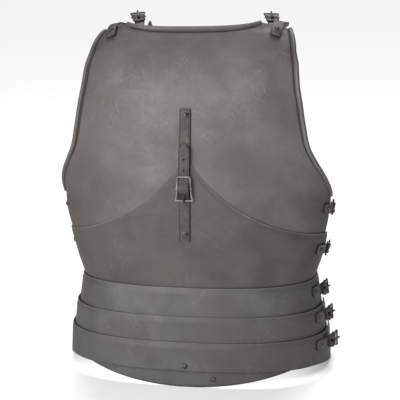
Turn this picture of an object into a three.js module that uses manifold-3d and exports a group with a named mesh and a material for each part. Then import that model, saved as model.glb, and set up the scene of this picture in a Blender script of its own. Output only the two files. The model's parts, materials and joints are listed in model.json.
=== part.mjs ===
// Steel breastplate: an upper plate with rolled edges, a plackart over it, four fauld lames,
// a leather strap with a buckle down the middle, and open buckles at the shoulders and one side.
// Millimetres. +Z is up, +X is the wearer's left, -Y is the front of the chest.
// The plates are modelled upright and the whole is then leaned back on to the three points
// it stands on: the front of the lowest lame and the two rear corners of the lame above it.
import * as THREE from 'three';
import { mergeVertices } from 'three/addons/utils/BufferGeometryUtils.js';
import Module from 'manifold-3d';

const wasm = await Module();
wasm.setup();

// ---------------------------------------------------------------- driving sizes

const STEEL = 1.8;            // thickness of every plate
const PLATE_GAP = 1.2;        // air between two plates that overlap
const LEATHER = 2.2;          // thickness of every strap
const TOUCH_GAP = 0.4;        // air between pieces that bear on each other
const FACET_GAP = 2.2;        // air between a hollow plate's facets and a strap inside it
const ROUNDNESS = 2.5;        // power of the plates' cross-section, 2 being an ellipse
const ROLL = { radius: 3.2, sides: 4, steps: 18, from: 0.215, to: 0.998 };  // neck and armhole edges
const HALF_COLUMNS = 9;       // grid columns from the middle of a plate to its side
const ROW_CROWDING = 1.35;    // how much closer the upper plate's rows lie towards the neck
const DEGREE = Math.PI / 180;

// The body that all plates follow, by height: half width, depth in front of the side seam,
// and where the upper plate's edge lies (front is negative).
const BODY = [
  { z: 130, width: 169.8, depth: 111, edge: 99 },
  { z: 146, width: 168.3, depth: 110.9, edge: 97 },
  { z: 160, width: 172.6, depth: 112, edge: 92.5 },
  { z: 180, width: 179.4, depth: 113, edge: 86 },
  { z: 212, width: 188.4, depth: 113.8, edge: 76 },
  { z: 240, width: 196.4, depth: 114.4, edge: 71.5 },
  { z: 262, width: 199.2, depth: 114.8, edge: 71.5 },
  { z: 275, width: 200, depth: 115, edge: 70.8 },
  { z: 285, width: 203.5, depth: 115, edge: 65.7 },
  { z: 295, width: 209, depth: 114.9, edge: 59.8 },
  { z: 305, width: 215, depth: 114.7, edge: 54.6 },
  { z: 315, width: 221, depth: 114.3, edge: 50.2 },
  { z: 325, width: 225.5, depth: 113.8, edge: 46.7 },
  { z: 345, width: 232, depth: 112.6, edge: 42 },
  { z: 375, width: 235, depth: 110.4, edge: 39.5 },
  { z: 405, width: 233, depth: 106.6, edge: 38.5 },
  { z: 430, width: 226, depth: 101.2, edge: 38.6 },
  { z: 455, width: 210, depth: 93.4, edge: 41.2 },
  { z: 480, width: 180, depth: 82, edge: 47.8 },
  { z: 500, width: 149.5, depth: 68.6, edge: 60.4 },
  { z: 507, width: 136, depth: 63, edge: 71.5 },
  { z: 520, width: 121, depth: 52.5, edge: 76 },
];

const UPPER = { bottom: 184, neckMiddle: 507.4, neckCorner: 515, shoulderEnd: 505.5, cornerAt: 0.64, rows: 17 };
const PLACKART = { bottom: 139, side: 218, point: 117, fall: 76, reach: 200, beyond: 1.5, rows: 9 };

// Fauld lames, by the inner face: heights of both edges, half widths and depths there. Each
// lame laps outside the one above it. The third drops lower towards its rear corners.
const LAMES = [
  {
    name: 'fauld_lame_1', top: 150, bottom: 100, drop: 0,
    topWidth: 174.8, bottomWidth: 182.2, topDepth: 117.3, bottomDepth: 118.8,
  },
  {
    name: 'fauld_lame_2', top: 109, bottom: 62, drop: 0,
    topWidth: 185.4, bottomWidth: 190, topDepth: 121, bottomDepth: 122,
  },
  {
    name: 'fauld_lame_3', top: 73, bottom: 31, drop: 9,
    topWidth: 193.4, bottomWidth: 195.6, topDepth: 124.6, bottomDepth: 125.2,
  },
];
// The lowest lame lies inside the third one, and its lower edge rises to both sides.
const LAME_4 = { name: 'fauld_lame_4', top: 52, middle: 8, rise: 20, riseAt: 140, sideY: -42 };
const LAME_4_FORM = { width: () => 190.6, depth: () => 122.2 };
const DROP_FROM = 0.55;       // part of the way round at which the third lame starts to drop
const LAME_BACK = 20;         // how far behind the side seam's line the lames reach

// Buckles, measured along the strap from the hinge bar that carries the strap and the tongue.
const BUCKLE = {
  bar: 2.2,                   // thickness of the frame
  wide: 24, narrow: 19,       // outer widths at the two ends
  toWide: 15.4, toNarrow: -13.2,
  hinge: 1.3, hingeEnds: 1.4, // radius of the hinge bar, and how far it stands out each side
  tongue: 3, tonguePast: 2.4, // tongue width, and how far it runs past the wide end
  side: 1.8,                  // width of the frame's sides
  tilt: 2,                    // degrees that the wide end dips
};
const FLARE = { power: 2.6, at: [0, 0.35, 0.6, 0.8, 1] };
const CENTRE_BUCKLE = { ...BUCKLE, wide: 26.5, narrow: 20.6, toWide: 17, toNarrow: -16.5, tilt: 4.3 };
const PLAY = 0.35;            // between the hinge bar and what turns on it
const EYE_WALL = 1.3;         // metal of the tongue round the hinge bar
const STRAP_WIDTH = 15.4;
const FOLD_WIDTH = 14.8;      // strap where it folds round the hinge bar
const FOLD_WALL = 1.8;
const FOLD_RADIUS = BUCKLE.hinge + PLAY + FOLD_WALL;
const FOLD_RISE = FOLD_RADIUS - LEATHER / 2;   // hinge bar above the strap's middle line
const SLOT = { width: BUCKLE.tongue + 1.4, back: 7, front: 5, deep: 14 };

// Domed rivets, through a hole in all that they hold.
const RIVET = { head: 3.5, dome: 2.2, shank: 1.6, hole: 1.95, tail: 2.9, tailThick: 1.2, tailGap: 1.3 };
const WASHER = { radius: 5.7, thick: 0.9 };
const DRILL_BEYOND = 4;       // how far a rivet hole is cut past what it goes through
const LAME_RIVETS = { third: { z: 39 }, fourth: { x: 39.4, z: 21 } };
const ROUND = 8;              // sides of rivets, hinge bars and eyes

// Side buckles on the wearer's left: rivet and hinge bar heights, how far forward the rivet is,
// and the angle outwards at which the stiff leather leaves the plate.
const SIDE_BUCKLES = [
  {
    name: 'chest', plates: ['upper_breastplate'],
    rivetZ: 256, barZ: 252, rivetY: -46, leaveY: -37, splay: -2,
  },
  {
    name: 'waist', plates: ['plackart', 'upper_breastplate'],
    rivetZ: 197, barZ: 193, rivetY: -43, leaveY: -14, splay: 0,
  },
  { name: 'lame_1', plates: ['fauld_lame_1'], rivetZ: 131, barZ: 129, rivetY: -37, leaveY: -29, splay: 15 },
  { name: 'lame_2', plates: ['fauld_lame_2'], rivetZ: 95.5, barZ: 93.5, rivetY: -45.5, leaveY: -36, splay: 16 },
  { name: 'lame_3', plates: ['fauld_lame_3'], rivetZ: 58, barZ: 57, rivetY: -56, leaveY: -44, splay: 22 },
];
const CHAPE = { ahead: 8, run: 36 };
// Plain straps inside the wearer's right side: where each starts, and where it leaves its plate.
const RIGHT_STRAPS = [
  { name: 'chest', plate: 'upper_breastplate', z: 254, frontY: -68, edgeY: -38 },
  { name: 'waist', plate: 'upper_breastplate', z: 198, frontY: -50, edgeY: -20 },
  { name: 'lame_1', plate: 'fauld_lame_1', z: 127, frontY: -28, edgeY: 14 },
  { name: 'lame_2', plate: 'fauld_lame_2', z: 89, frontY: -28, edgeY: 14 },
  { name: 'lame_3', plate: 'fauld_lame_3', z: 47, frontY: -28, edgeY: 14 },
];
const RIGHT_STRAP_END = 48;   // y of their rear ends

// Strap down the middle, by height, and its buckle.
const CENTRE = {
  top: 399.5, topRivet: 390.6, stepTop: 347, stepFoot: 338, bar: 291, tip: 351,
  lowRivet: 225.7, bottom: 217,
};
const CENTRE_RISE = 5.6;      // hinge bar above the plackart
const BILLET = { thick: 2, width: 15.4, tipWidth: 9 };
// How the free strap threads the buckle: along the strap from the hinge bar, and height.
const THREADING = [
  { along: 30, height: 1.4 }, { along: 22, height: 1.4 }, { along: 17, height: 1.55 },
  { along: 12, height: 2.4 }, { along: 8, height: 5.4 }, { along: 4, height: 9.3 },
  { along: 0, height: 10.7 }, { along: -4, height: 9.3 }, { along: -8, height: 6.6 },
  { along: -12, height: 4.7 }, { along: -16, height: 4.15 }, { along: -24, height: 4.1 },
  { along: -40, height: 4.1 },
];
const PIERCED = { width: 4.2, from: 3.2, to: 11, low: 4.6, high: 8.7 };

const SHOULDER_GAP = 2;       // air under the stiff leather where it crosses the curved plate
// Shoulder straps, by their middle line from the front end to the hinge bar. out is the distance
// from the middle of the chest, turn and drop are the directions across the strap in degrees.
const SHOULDERS = [
  {
    side: 1, name: 'left_shoulder',
    line: [
      { out: 116.7, y: -59.4, z: 497.8, turn: 26, drop: 0 },
      { out: 118.6, y: -49, z: 507.4, turn: 26, drop: 3 },
      { out: 120, y: -29, z: 515.8, turn: 26, drop: 8 },
      { out: 124.5, y: -12, z: 516.5, turn: 24, drop: 8 },
      { out: 121, y: 6, z: 512.5, turn: 26, drop: 6 },
      { out: 111, y: 20, z: 511, turn: 22, drop: 5 },
      { out: 104.5, y: 33, z: 517, turn: 10, drop: 5 },
      { out: 101.8, y: 46, z: 523, turn: 4, drop: 5 },
    ],
  },
  {
    side: -1, name: 'right_shoulder',
    line: [
      { out: 116.7, y: -59.4, z: 497.8, turn: 26, drop: 0 },
      { out: 118.6, y: -49, z: 507.4, turn: 26, drop: 3 },
      { out: 118, y: -29, z: 516.1, turn: 24, drop: 8 },
      { out: 114, y: -12, z: 516, turn: 24, drop: 8 },
      { out: 104, y: 6, z: 512.5, turn: 26, drop: 6 },
      { out: 97, y: 20, z: 512, turn: 8, drop: 5 },
      { out: 97, y: 33, z: 519, turn: -10, drop: 5 },
      { out: 101.5, y: 46, z: 526, turn: -14, drop: 5 },
    ],
  },
];
const SHOULDER_TAB = { x: -62.5, y: -46.5, foot: 496, tip: 519.5, width: 13, tipWidth: 2, turn: 20 };

// Middle line of the leather behind the lames, from the plackart down.
const FAULD_LEATHER = [
  { z: 168, y: -112.6 }, { z: 139, y: -111.6 }, { z: 120, y: -113.4 }, { z: 100, y: -116.4 },
  { z: 80, y: -118.4 }, { z: 62, y: -120 }, { z: 50, y: -120.4 }, { z: 14, y: -120.4 },
];

const COLOUR = { steel: 0x767270, darkSteel: 0x4a4744, buckle: 0x6e6966, leather: 0x2f2a26 };

// ---------------------------------------------------------------- materials

const material = (color, metalness, roughness) =>
  new THREE.MeshStandardMaterial({ color, metalness, roughness });
const plateSteel = material(COLOUR.steel, 0.9, 0.5);
const rivetSteel = material(COLOUR.darkSteel, 0.85, 0.5);
const buckleSteel = material(COLOUR.buckle, 0.9, 0.42);
const strapLeather = material(COLOUR.leather, 0, 0.7);

// ---------------------------------------------------------------- small helpers

const vec = (x, y, z) => new THREE.Vector3(x, y, z);
const mix = (a, b, t) => a + (b - a) * t;
const clamp = THREE.MathUtils.clamp;

// A smooth value of one named column between the rows of a table that rises in z.
function column(table, name, z) {
  const last = table.length - 1;
  const i = clamp(table.findIndex((row) => row.z > z) - 1, 0, last - 1);
  const k = z >= table[last].z ? last - 1 : i;
  const slope = (j) => {
    const a = table[Math.max(j - 1, 0)];
    const b = table[Math.min(j + 1, last)];
    return (b[name] - a[name]) / (b.z - a.z);
  };
  const [p, q] = [table[k], table[k + 1]];
  const h = q.z - p.z;
  const t = clamp((z - p.z) / h, 0, 1);
  const [t2, t3] = [t * t, t * t * t];
  return p[name] * (2 * t3 - 3 * t2 + 1) + h * slope(k) * (t3 - 2 * t2 + t)
    + q[name] * (3 * t2 - 2 * t3) + h * slope(k + 1) * (t3 - t2);
}

const body = {
  width: (z) => column(BODY, 'width', z),
  depth: (z) => column(BODY, 'depth', z),
};

// A lame is a straight-sided band of its own.
const band = ({ top, bottom, topWidth, bottomWidth, topDepth, bottomDepth }) => ({
  width: (z) => mix(bottomWidth, topWidth, (z - bottom) / (top - bottom)),
  depth: (z) => mix(bottomDepth, topDepth, (z - bottom) / (top - bottom)),
});

// The point of a form at a height and an angle round from the front, moved out along the normal.
function onForm(form, z, angle, out = 0) {
  const at = (zz, a) => {
    const [s, c] = [Math.sin(a), Math.cos(a)];
    const k = (Math.abs(s) ** ROUNDNESS + Math.abs(c) ** ROUNDNESS) ** (1 / ROUNDNESS);
    return vec((form.width(zz) * s) / k, (-form.depth(zz) * c) / k, zz);
  };
  const point = at(z, angle);
  const step = 0.002;
  const along = at(z, angle + step).sub(at(z, angle - step));
  const up = at(z + 0.5, angle).sub(at(z - 0.5, angle));
  const normal = along.clone().cross(up).normalize();
  return { point: point.addScaledVector(normal, out), normal, up: up.normalize() };
}

// The angle at which a form reaches a given y, on the side of +X.
function angleAtY(form, z, y) {
  const forward = -y / form.depth(z);
  return Math.atan2((1 - Math.abs(forward) ** ROUNDNESS) ** (1 / ROUNDNESS), forward);
}

// ---------------------------------------------------------------- solids

// Turn a closed geometry into a manifold-3d solid, and back.
function solid(geometry) {
  const bare = geometry.index ? geometry.toNonIndexed() : geometry.clone();
  bare.deleteAttribute('normal');
  bare.deleteAttribute('uv');
  const merged = mergeVertices(bare, 1e-4);
  return new wasm.Manifold(new wasm.Mesh({
    numProp: 3,
    vertProperties: new Float32Array(merged.attributes.position.array),
    triVerts: new Uint32Array(merged.index.array),
  }));
}

function geometryOf(manifold) {
  const { vertProperties, triVerts } = manifold.getMesh();
  const geometry = new THREE.BufferGeometry();
  geometry.setAttribute('position', new THREE.BufferAttribute(new Float32Array(vertProperties), 3));
  geometry.setIndex(new THREE.BufferAttribute(new Uint32Array(triVerts), 1));
  return geometry;
}

// A closed wall between an outer and an inner grid of points, rows[j][i].
function wall(outer, inner) {
  const [rows, columns] = [outer.length, outer[0].length];
  const points = [...outer.flat(), ...inner.flat()];
  const at = (side, j, i) => (side * rows + j) * columns + i;
  const faces = [];
  const quad = (a, b, c, d) => faces.push(a, b, c, a, c, d);
  for (let j = 0; j < rows - 1; j += 1) {
    for (let i = 0; i < columns - 1; i += 1) {
      quad(at(0, j, i), at(0, j, i + 1), at(0, j + 1, i + 1), at(0, j + 1, i));
      quad(at(1, j, i), at(1, j + 1, i), at(1, j + 1, i + 1), at(1, j, i + 1));
    }
  }
  for (let i = 0; i < columns - 1; i += 1) {
    quad(at(0, 0, i), at(1, 0, i), at(1, 0, i + 1), at(0, 0, i + 1));
    quad(at(0, rows - 1, i), at(0, rows - 1, i + 1), at(1, rows - 1, i + 1), at(1, rows - 1, i));
  }
  for (let j = 0; j < rows - 1; j += 1) {
    quad(at(0, j, 0), at(0, j + 1, 0), at(1, j + 1, 0), at(1, j, 0));
    quad(at(0, j, columns - 1), at(1, j, columns - 1), at(1, j + 1, columns - 1), at(0, j + 1, columns - 1));
  }
  const geometry = new THREE.BufferGeometry().setFromPoints(points);
  geometry.setIndex(faces);
  return geometry;
}

// A plate on a form: grid(j, i) gives the height and angle of each crossing.
function plate(form, rows, grid, inside, thickness = STEEL) {
  const layer = (out) => Array.from({ length: rows + 1 }, (_, j) =>
    Array.from({ length: 2 * HALF_COLUMNS + 1 }, (__, i) => {
      const { z, angle } = grid(j / rows, i / HALF_COLUMNS - 1);
      return onForm(form, z, angle, out).point;
    }));
  return wall(layer(inside + thickness), layer(inside));
}

// A strap: stations hold the middle point, the direction across and the outward normal.
function ribbon(stations, width, thickness) {
  const face = (out) => stations.map(({ point, across, normal, narrow = 1 }) =>
    [-1, 1].map((s) => point.clone()
      .addScaledVector(across, (s * width * narrow) / 2)
      .addScaledVector(normal, (out * thickness) / 2)));
  return solid(wall(face(1), face(-1)));
}

// Stations along a smooth line through points that each have a direction across the strap.
function stationsAlong(knots, steps) {
  const line = new THREE.CatmullRomCurve3(knots.map((knot) => knot.point), false, 'centripetal');
  const turns = new THREE.CatmullRomCurve3(knots.map((knot) => knot.across), false, 'centripetal');
  return Array.from({ length: steps + 1 }, (_, k) => {
    const t = k / steps;
    const tangent = line.getTangent(t);
    const across = turns.getPoint(t);
    across.addScaledVector(tangent, -across.dot(tangent)).normalize();
    const normal = across.clone().cross(tangent).normalize();
    return { point: line.getPoint(t), across, normal, tangent };
  });
}

// Narrow a strap from one width to another over its last few stations.
function narrowEnd(stations, count, factor) {
  return stations.map((station, k) => {
    const t = clamp((k - (stations.length - 1 - count)) / count, 0, 1);
    return { ...station, narrow: mix(1, factor, t) };
  });
}

// A point of the strap's middle line moved on to its outer face, turned as the nearest station.
function faceStation(stations, point, thickness) {
  const nearest = stations.reduce((best, station) =>
    (station.point.distanceTo(point) < best.point.distanceTo(point) ? station : best));
  return { ...nearest, point: point.clone().addScaledVector(nearest.normal, thickness / 2) };
}

// Local frame: x across the strap, y along it, z out.
const frameAt = ({ point, across, tangent, normal }) =>
  new THREE.Matrix4().makeBasis(across, tangent, normal).setPosition(point);

function cylinder(radius, length, axis) {
  const geometry = new THREE.CylinderGeometry(radius, radius, length, ROUND);
  if (axis === 'x') geometry.rotateZ(Math.PI / 2);
  else geometry.rotateX(Math.PI / 2);
  return solid(geometry);
}

// ---------------------------------------------------------------- a buckle, about its hinge bar

const frameEnds = (size) => [size.toNarrow - size.bar / 2, size.toWide + size.bar / 2];

// Half the outer width at a distance along the buckle: the sides flare towards the wide end.
function halfWidth(size, along) {
  const [low, high] = frameEnds(size);
  return mix(size.narrow, size.wide, ((along - low) / (high - low)) ** FLARE.power) / 2;
}

function buckleFrame(size) {
  const [low, high] = frameEnds(size);
  const rim = (inset, insetEnd) => {
    const side = FLARE.at.map((t) => mix(low, high, t)).map((along) =>
      new THREE.Vector2(halfWidth(size, along) - inset, clamp(along, low + insetEnd, high - insetEnd)));
    const mirrored = side.map(({ x, y }) => new THREE.Vector2(-x, y)).reverse();
    return new THREE.Shape([...side, ...mirrored]);
  };
  const outline = rim(0, 0);
  outline.holes.push(rim(size.side, size.bar));
  const flat = new THREE.ExtrudeGeometry(outline, { depth: size.bar, bevelEnabled: false });
  flat.translate(0, 0, -size.bar / 2);
  return solid(flat).add(cylinder(size.hinge, 2 * (halfWidth(size, 0) + size.hingeEnds), 'x'));
}

// Tongue: an eye round the hinge bar and a pin that lies over the wide end.
function buckleTongue(size) {
  const bore = size.hinge + PLAY;
  const eye = bore + EYE_WALL;
  const tip = size.toWide + size.bar / 2 + size.tonguePast;
  const rest = size.bar / 2 + TOUCH_GAP;
  const side = new THREE.Shape([
    new THREE.Vector2(0, eye * 0.8),
    new THREE.Vector2(eye * 0.8, -eye * 0.2),
    new THREE.Vector2(size.toWide - size.bar / 2, rest),
    new THREE.Vector2(tip, rest + 0.7),
    new THREE.Vector2(tip, rest + 2),
    new THREE.Vector2(size.toWide, rest + 1.9),
    new THREE.Vector2(0, eye),
  ]);
  const pin = new THREE.ExtrudeGeometry(side, { depth: size.tongue, bevelEnabled: false });
  pin.translate(0, 0, -size.tongue / 2);
  pin.applyMatrix4(new THREE.Matrix4().makeBasis(vec(0, 1, 0), vec(0, 0, 1), vec(1, 0, 0)));
  return cylinder(eye, size.tongue, 'x').add(solid(pin)).subtract(cylinder(bore, size.tongue + 2, 'x'));
}

// Fold of the strap round the hinge bar, joined to the strap and slotted for the tongue.
function foldedStrap(strap, hingeFrame, size) {
  const slot = new THREE.BoxGeometry(SLOT.width, SLOT.back + SLOT.front, SLOT.deep);
  slot.translate(0, (SLOT.front - SLOT.back) / 2, 0);
  return strap
    .add(moved(cylinder(FOLD_RADIUS, FOLD_WIDTH, 'x'), hingeFrame))
    .subtract(moved(cylinder(size.hinge + PLAY, STRAP_WIDTH + 2, 'x'), hingeFrame))
    .subtract(moved(solid(slot), hingeFrame));
}

// Rivet standing on the face at z = 0, its shank going in by the grip and its tail closed behind.
function rivetBody(grip, washer) {
  const [head, inner] = [TOUCH_GAP, -grip - RIVET.tailGap];
  const base = washer ? head + WASHER.thick : head;
  const washerRim = [[WASHER.radius, head], [WASHER.radius, base]];
  const profile = [
    [0, inner - RIVET.tailThick], [RIVET.tail, inner - RIVET.tailThick], [RIVET.tail, inner],
    [RIVET.shank, inner], [RIVET.shank, head],
    ...(washer ? washerRim : []),
    [RIVET.head, base], [RIVET.head * 0.72, base + RIVET.dome * 0.7], [0, base + RIVET.dome],
  ].map(([radius, height]) => new THREE.Vector2(radius, height));
  const geometry = new THREE.LatheGeometry(profile, ROUND);
  geometry.rotateX(Math.PI / 2);
  return solid(geometry);
}

// ---------------------------------------------------------------- assembly

const pieces = new Map();
const put = (name, manifold, look, notes = {}) => pieces.set(name, { manifold, look, notes });
const moved = (manifold, matrix) => manifold.transform(matrix.toArray());

// Put a rivet where a station is, and drill what it passes through.
function fasten(name, station, grip, held, washer = false) {
  const place = frameAt(station);
  const reach = grip + DRILL_BEYOND;
  const drill = cylinder(RIVET.hole, reach + DRILL_BEYOND, 'z').translate([0, 0, (DRILL_BEYOND - reach) / 2]);
  for (const node of held) {
    const piece = pieces.get(node);
    piece.manifold = piece.manifold.subtract(moved(drill, place));
  }
  put(name, moved(rivetBody(grip, washer), place), rivetSteel);
}

// Put the frame and tongue of a buckle on a hinge frame, with what a fitter would measure.
function putBuckle(name, hingeFrame, size) {
  const tilted = hingeFrame.clone().multiply(new THREE.Matrix4().makeRotationX(-size.tilt * DEGREE));
  const end = vec(0, frameEnds(size)[1], 0).applyMatrix4(tilted);
  const along = vec(0, 1, 0).transformDirection(tilted);
  put(`${name}_buckle`, moved(buckleFrame(size), tilted), buckleSteel, { endFace: { point: end, normal: along } });
  const point = vec(0, 0, 0).applyMatrix4(tilted);
  const axis = vec(1, 0, 0).transformDirection(tilted);
  put(`${name}_tongue`, moved(buckleTongue(size), tilted), buckleSteel, { hinge: { point, axis } });
}

// An open buckle on a chape: the last station is beside the hinge bar.
function putChape(name, stations, rivetPoint, plates, grip) {
  const last = stations[stations.length - 1];
  const hingePoint = last.point.clone().addScaledVector(last.normal, FOLD_RISE);
  const hingeFrame = frameAt({ ...last, point: hingePoint });
  const strap = ribbon(narrowEnd(stations, 4, FOLD_WIDTH / STRAP_WIDTH), STRAP_WIDTH, LEATHER);
  put(`${name}_strap`, foldedStrap(strap, hingeFrame, BUCKLE), strapLeather);
  putBuckle(name, hingeFrame, BUCKLE);
  const station = faceStation(stations, rivetPoint, LEATHER);
  fasten(`${name}_rivet`, station, grip, [`${name}_strap`, ...plates]);
}

// Upper plate, with its rolled edges joined on.
const upperEdge = (z) => column(BODY, 'edge', z) * DEGREE;
function upperGrid(v, c) {
  // rows lie closer together towards the neck, where the plate turns back
  const t = 1 - (1 - v) ** ROW_CROWDING;
  const edgeZ = mix(UPPER.bottom, UPPER.shoulderEnd, t);
  const a = Math.abs(c);
  const top = a < UPPER.cornerAt
    ? mix(UPPER.neckMiddle, UPPER.neckCorner, (a / UPPER.cornerAt) ** 3)
    : mix(UPPER.neckCorner, UPPER.shoulderEnd, (a - UPPER.cornerAt) / (1 - UPPER.cornerAt));
  return { z: mix(UPPER.bottom, top, t), angle: c * upperEdge(edgeZ) };
}

// Round roll along a run of places on the upper plate's edge.
function roll(places) {
  const centre = places.map(([v, c]) => {
    const { z, angle } = upperGrid(v, c);
    return onForm(body, z, angle, STEEL / 2).point;
  });
  return solid(new THREE.ExtrudeGeometry(new THREE.Shape().absarc(0, 0, ROLL.radius, 0, 2 * Math.PI), {
    steps: centre.length - 1,
    curveSegments: ROLL.sides,
    bevelEnabled: false,
    extrudePath: new THREE.CatmullRomCurve3(centre, false, 'centripetal'),
  }));
}
const stretch = (count, at) => Array.from({ length: count + 1 }, (_, k) => at(k / count));
const armholeRoll = (side) => roll(stretch(ROLL.steps, (t) => [mix(ROLL.from, ROLL.to, t), side]));
const neckRoll = roll(stretch(ROLL.steps, (t) => [1, mix(-UPPER.cornerAt, UPPER.cornerAt, t)]));
put('upper_breastplate',
  solid(plate(body, UPPER.rows, upperGrid, 0)).add(armholeRoll(-1)).add(armholeRoll(1)).add(neckRoll),
  plateSteel);

// Plackart: lies outside the upper plate and rises to a point in the middle of the chest.
const PLACKART_IN = STEEL + PLATE_GAP;
const PLACKART_OUT = PLACKART_IN + STEEL;
function plackartTop(x) {
  const a = Math.abs(x);
  return PLACKART.side + PLACKART.point * Math.exp(-a / PLACKART.fall) * (1 - (a / PLACKART.reach) ** 3);
}
function plackartGrid(v, c) {
  let z = PLACKART.side;
  let angle = 0;
  // a row's height and a column's reach depend on each other, so both are settled together
  for (let k = 0; k < 8; k += 1) {
    angle = c * (upperEdge(Math.min(z, PLACKART.side)) + PLACKART.beyond * DEGREE);
    z = mix(PLACKART.bottom, plackartTop(onForm(body, z, angle).point.x), v);
  }
  return { z, angle };
}
put('plackart', solid(plate(body, PLACKART.rows, plackartGrid, PLACKART_IN)), plateSteel);

// Fauld lames.
const outerFaces = {
  upper_breastplate: { form: body, out: STEEL },
  plackart: { form: body, out: PLACKART_OUT },
};
for (const lame of LAMES) {
  const form = band(lame);
  outerFaces[lame.name] = { form, out: STEEL };
  const grid = (v, c) => {
    const dropping = THREE.MathUtils.smoothstep(Math.abs(c), DROP_FROM, 1);
    const z = mix(lame.bottom - lame.drop * dropping, lame.top, v);
    return { z, angle: c * angleAtY(form, z, LAME_BACK) };
  };
  put(lame.name, solid(plate(form, 2, grid, 0)), plateSteel);
}
put(LAME_4.name, solid(plate(LAME_4_FORM, 2, (v, c) => {
  const angle = c * angleAtY(LAME_4_FORM, 0, LAME_4.sideY);
  const { x } = onForm(LAME_4_FORM, 0, angle).point;
  const bottom = LAME_4.middle + LAME_4.rise * Math.min((x / LAME_4.riseAt) ** 2, 1.6);
  return { z: mix(bottom, LAME_4.top, v), angle };
}, 0)), plateSteel);

// Leather behind the middle of the lames, which the third lame's rivet holds.
put('fauld_leather', ribbon(stationsAlong(FAULD_LEATHER.map(({ z, y }) => (
  { point: vec(0, y, z), across: vec(1, 0, 0) })), 10), STRAP_WIDTH, LEATHER), strapLeather);

// A place on the outside of a plate, looking along a strap that runs up the plate.
function onPlate(name, z, angle) {
  const { form, out } = outerFaces[name];
  const { point, normal, up } = onForm(form, z, angle, out);
  return { point, normal, tangent: up, across: up.clone().cross(normal) };
}
const third = onPlate('fauld_lame_3', LAME_RIVETS.third.z, 0);
const thirdGrip = -third.point.y - (-FAULD_LEATHER[FAULD_LEATHER.length - 1].y - LEATHER / 2);
fasten('fauld_rivet_middle', third, thirdGrip, ['fauld_lame_3', LAME_4.name, 'fauld_leather']);
outerFaces[LAME_4.name] = { form: LAME_4_FORM, out: STEEL };
const fourthAngle = Math.asin(LAME_RIVETS.fourth.x / LAME_4_FORM.width());
fasten('fauld_rivet_low', onPlate(LAME_4.name, LAME_RIVETS.fourth.z, fourthAngle), STEEL, [LAME_4.name]);

// Strap down the middle of the chest. Heights are measured out from the plackart's outer face.
const onFront = (z, height) => onForm(body, z, 0, PLACKART_OUT + height).point;
const onUpper = TOUCH_GAP + LEATHER / 2 - STEEL - PLATE_GAP;
const onPlackart = TOUCH_GAP + LEATHER / 2;
const down = (knots) => knots.map(([z, height]) => ({ point: onFront(z, height), across: vec(-1, 0, 0) }));
const upperStations = stationsAlong(down([
  [CENTRE.top, onUpper], [CENTRE.topRivet, onUpper], [370, onUpper], [355, onUpper],
  [CENTRE.stepTop, onUpper], [CENTRE.stepFoot, onPlackart], [328, onPlackart], [312, onPlackart],
  [CENTRE.bar + 9, onPlackart], [CENTRE.bar, CENTRE_RISE - FOLD_RISE],
]), 15);
const hingeStation = { ...upperStations[upperStations.length - 1] };
const [aboveBar, belowBar] = [onFront(CENTRE.bar + 1, CENTRE_RISE), onFront(CENTRE.bar - 1, CENTRE_RISE)];
hingeStation.tangent = belowBar.clone().sub(aboveBar).normalize();
hingeStation.normal = hingeStation.across.clone().cross(hingeStation.tangent);
hingeStation.point = onFront(CENTRE.bar, CENTRE_RISE);
const centreFrame = frameAt(hingeStation);
put('centre_upper_strap', foldedStrap(
  ribbon(narrowEnd(upperStations, 3, FOLD_WIDTH / STRAP_WIDTH), STRAP_WIDTH, LEATHER),
  centreFrame, CENTRE_BUCKLE), strapLeather);
putBuckle('centre', centreFrame, CENTRE_BUCKLE);

// Its free half comes up from below, over the hinge bar, and lies down on the upper half.
const onBillet = TOUCH_GAP + BILLET.thick / 2;
const threaded = THREADING.map(({ along, height }) => [CENTRE.bar - along, height]);
const lowerStations = stationsAlong([
  [CENTRE.bottom, onBillet], [CENTRE.lowRivet, onBillet], [240, onBillet], ...threaded,
  [CENTRE.tip - 6, 4.1], [CENTRE.tip, 3.8],
].map(([z, height]) => ({ point: onFront(z, height), across: vec(1, 0, 0) })), 44);
const pierced = new THREE.BoxGeometry(PIERCED.width, PIERCED.to - PIERCED.from, PIERCED.high - PIERCED.low);
pierced.translate(0, (PIERCED.from + PIERCED.to) / 2, (PIERCED.low + PIERCED.high) / 2 - CENTRE_RISE);
put('centre_lower_strap', ribbon(narrowEnd(lowerStations, 3, BILLET.tipWidth / BILLET.width),
  BILLET.width, BILLET.thick).subtract(moved(solid(pierced), centreFrame)), strapLeather);
const bothPlates = ['plackart', 'upper_breastplate'];
const throughBoth = TOUCH_GAP + 2 * STEEL + PLATE_GAP;
const topRivet = faceStation(upperStations, onFront(CENTRE.topRivet, onUpper), LEATHER);
const throughOne = TOUCH_GAP + STEEL;
fasten('centre_upper_rivet', topRivet, LEATHER + throughOne, ['centre_upper_strap', 'upper_breastplate'], true);
const lowRivet = faceStation(lowerStations, onFront(CENTRE.lowRivet, onBillet), BILLET.thick);
fasten('centre_lower_rivet', lowRivet, BILLET.thick + throughBoth, ['centre_lower_strap', ...bothPlates], true);

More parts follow.
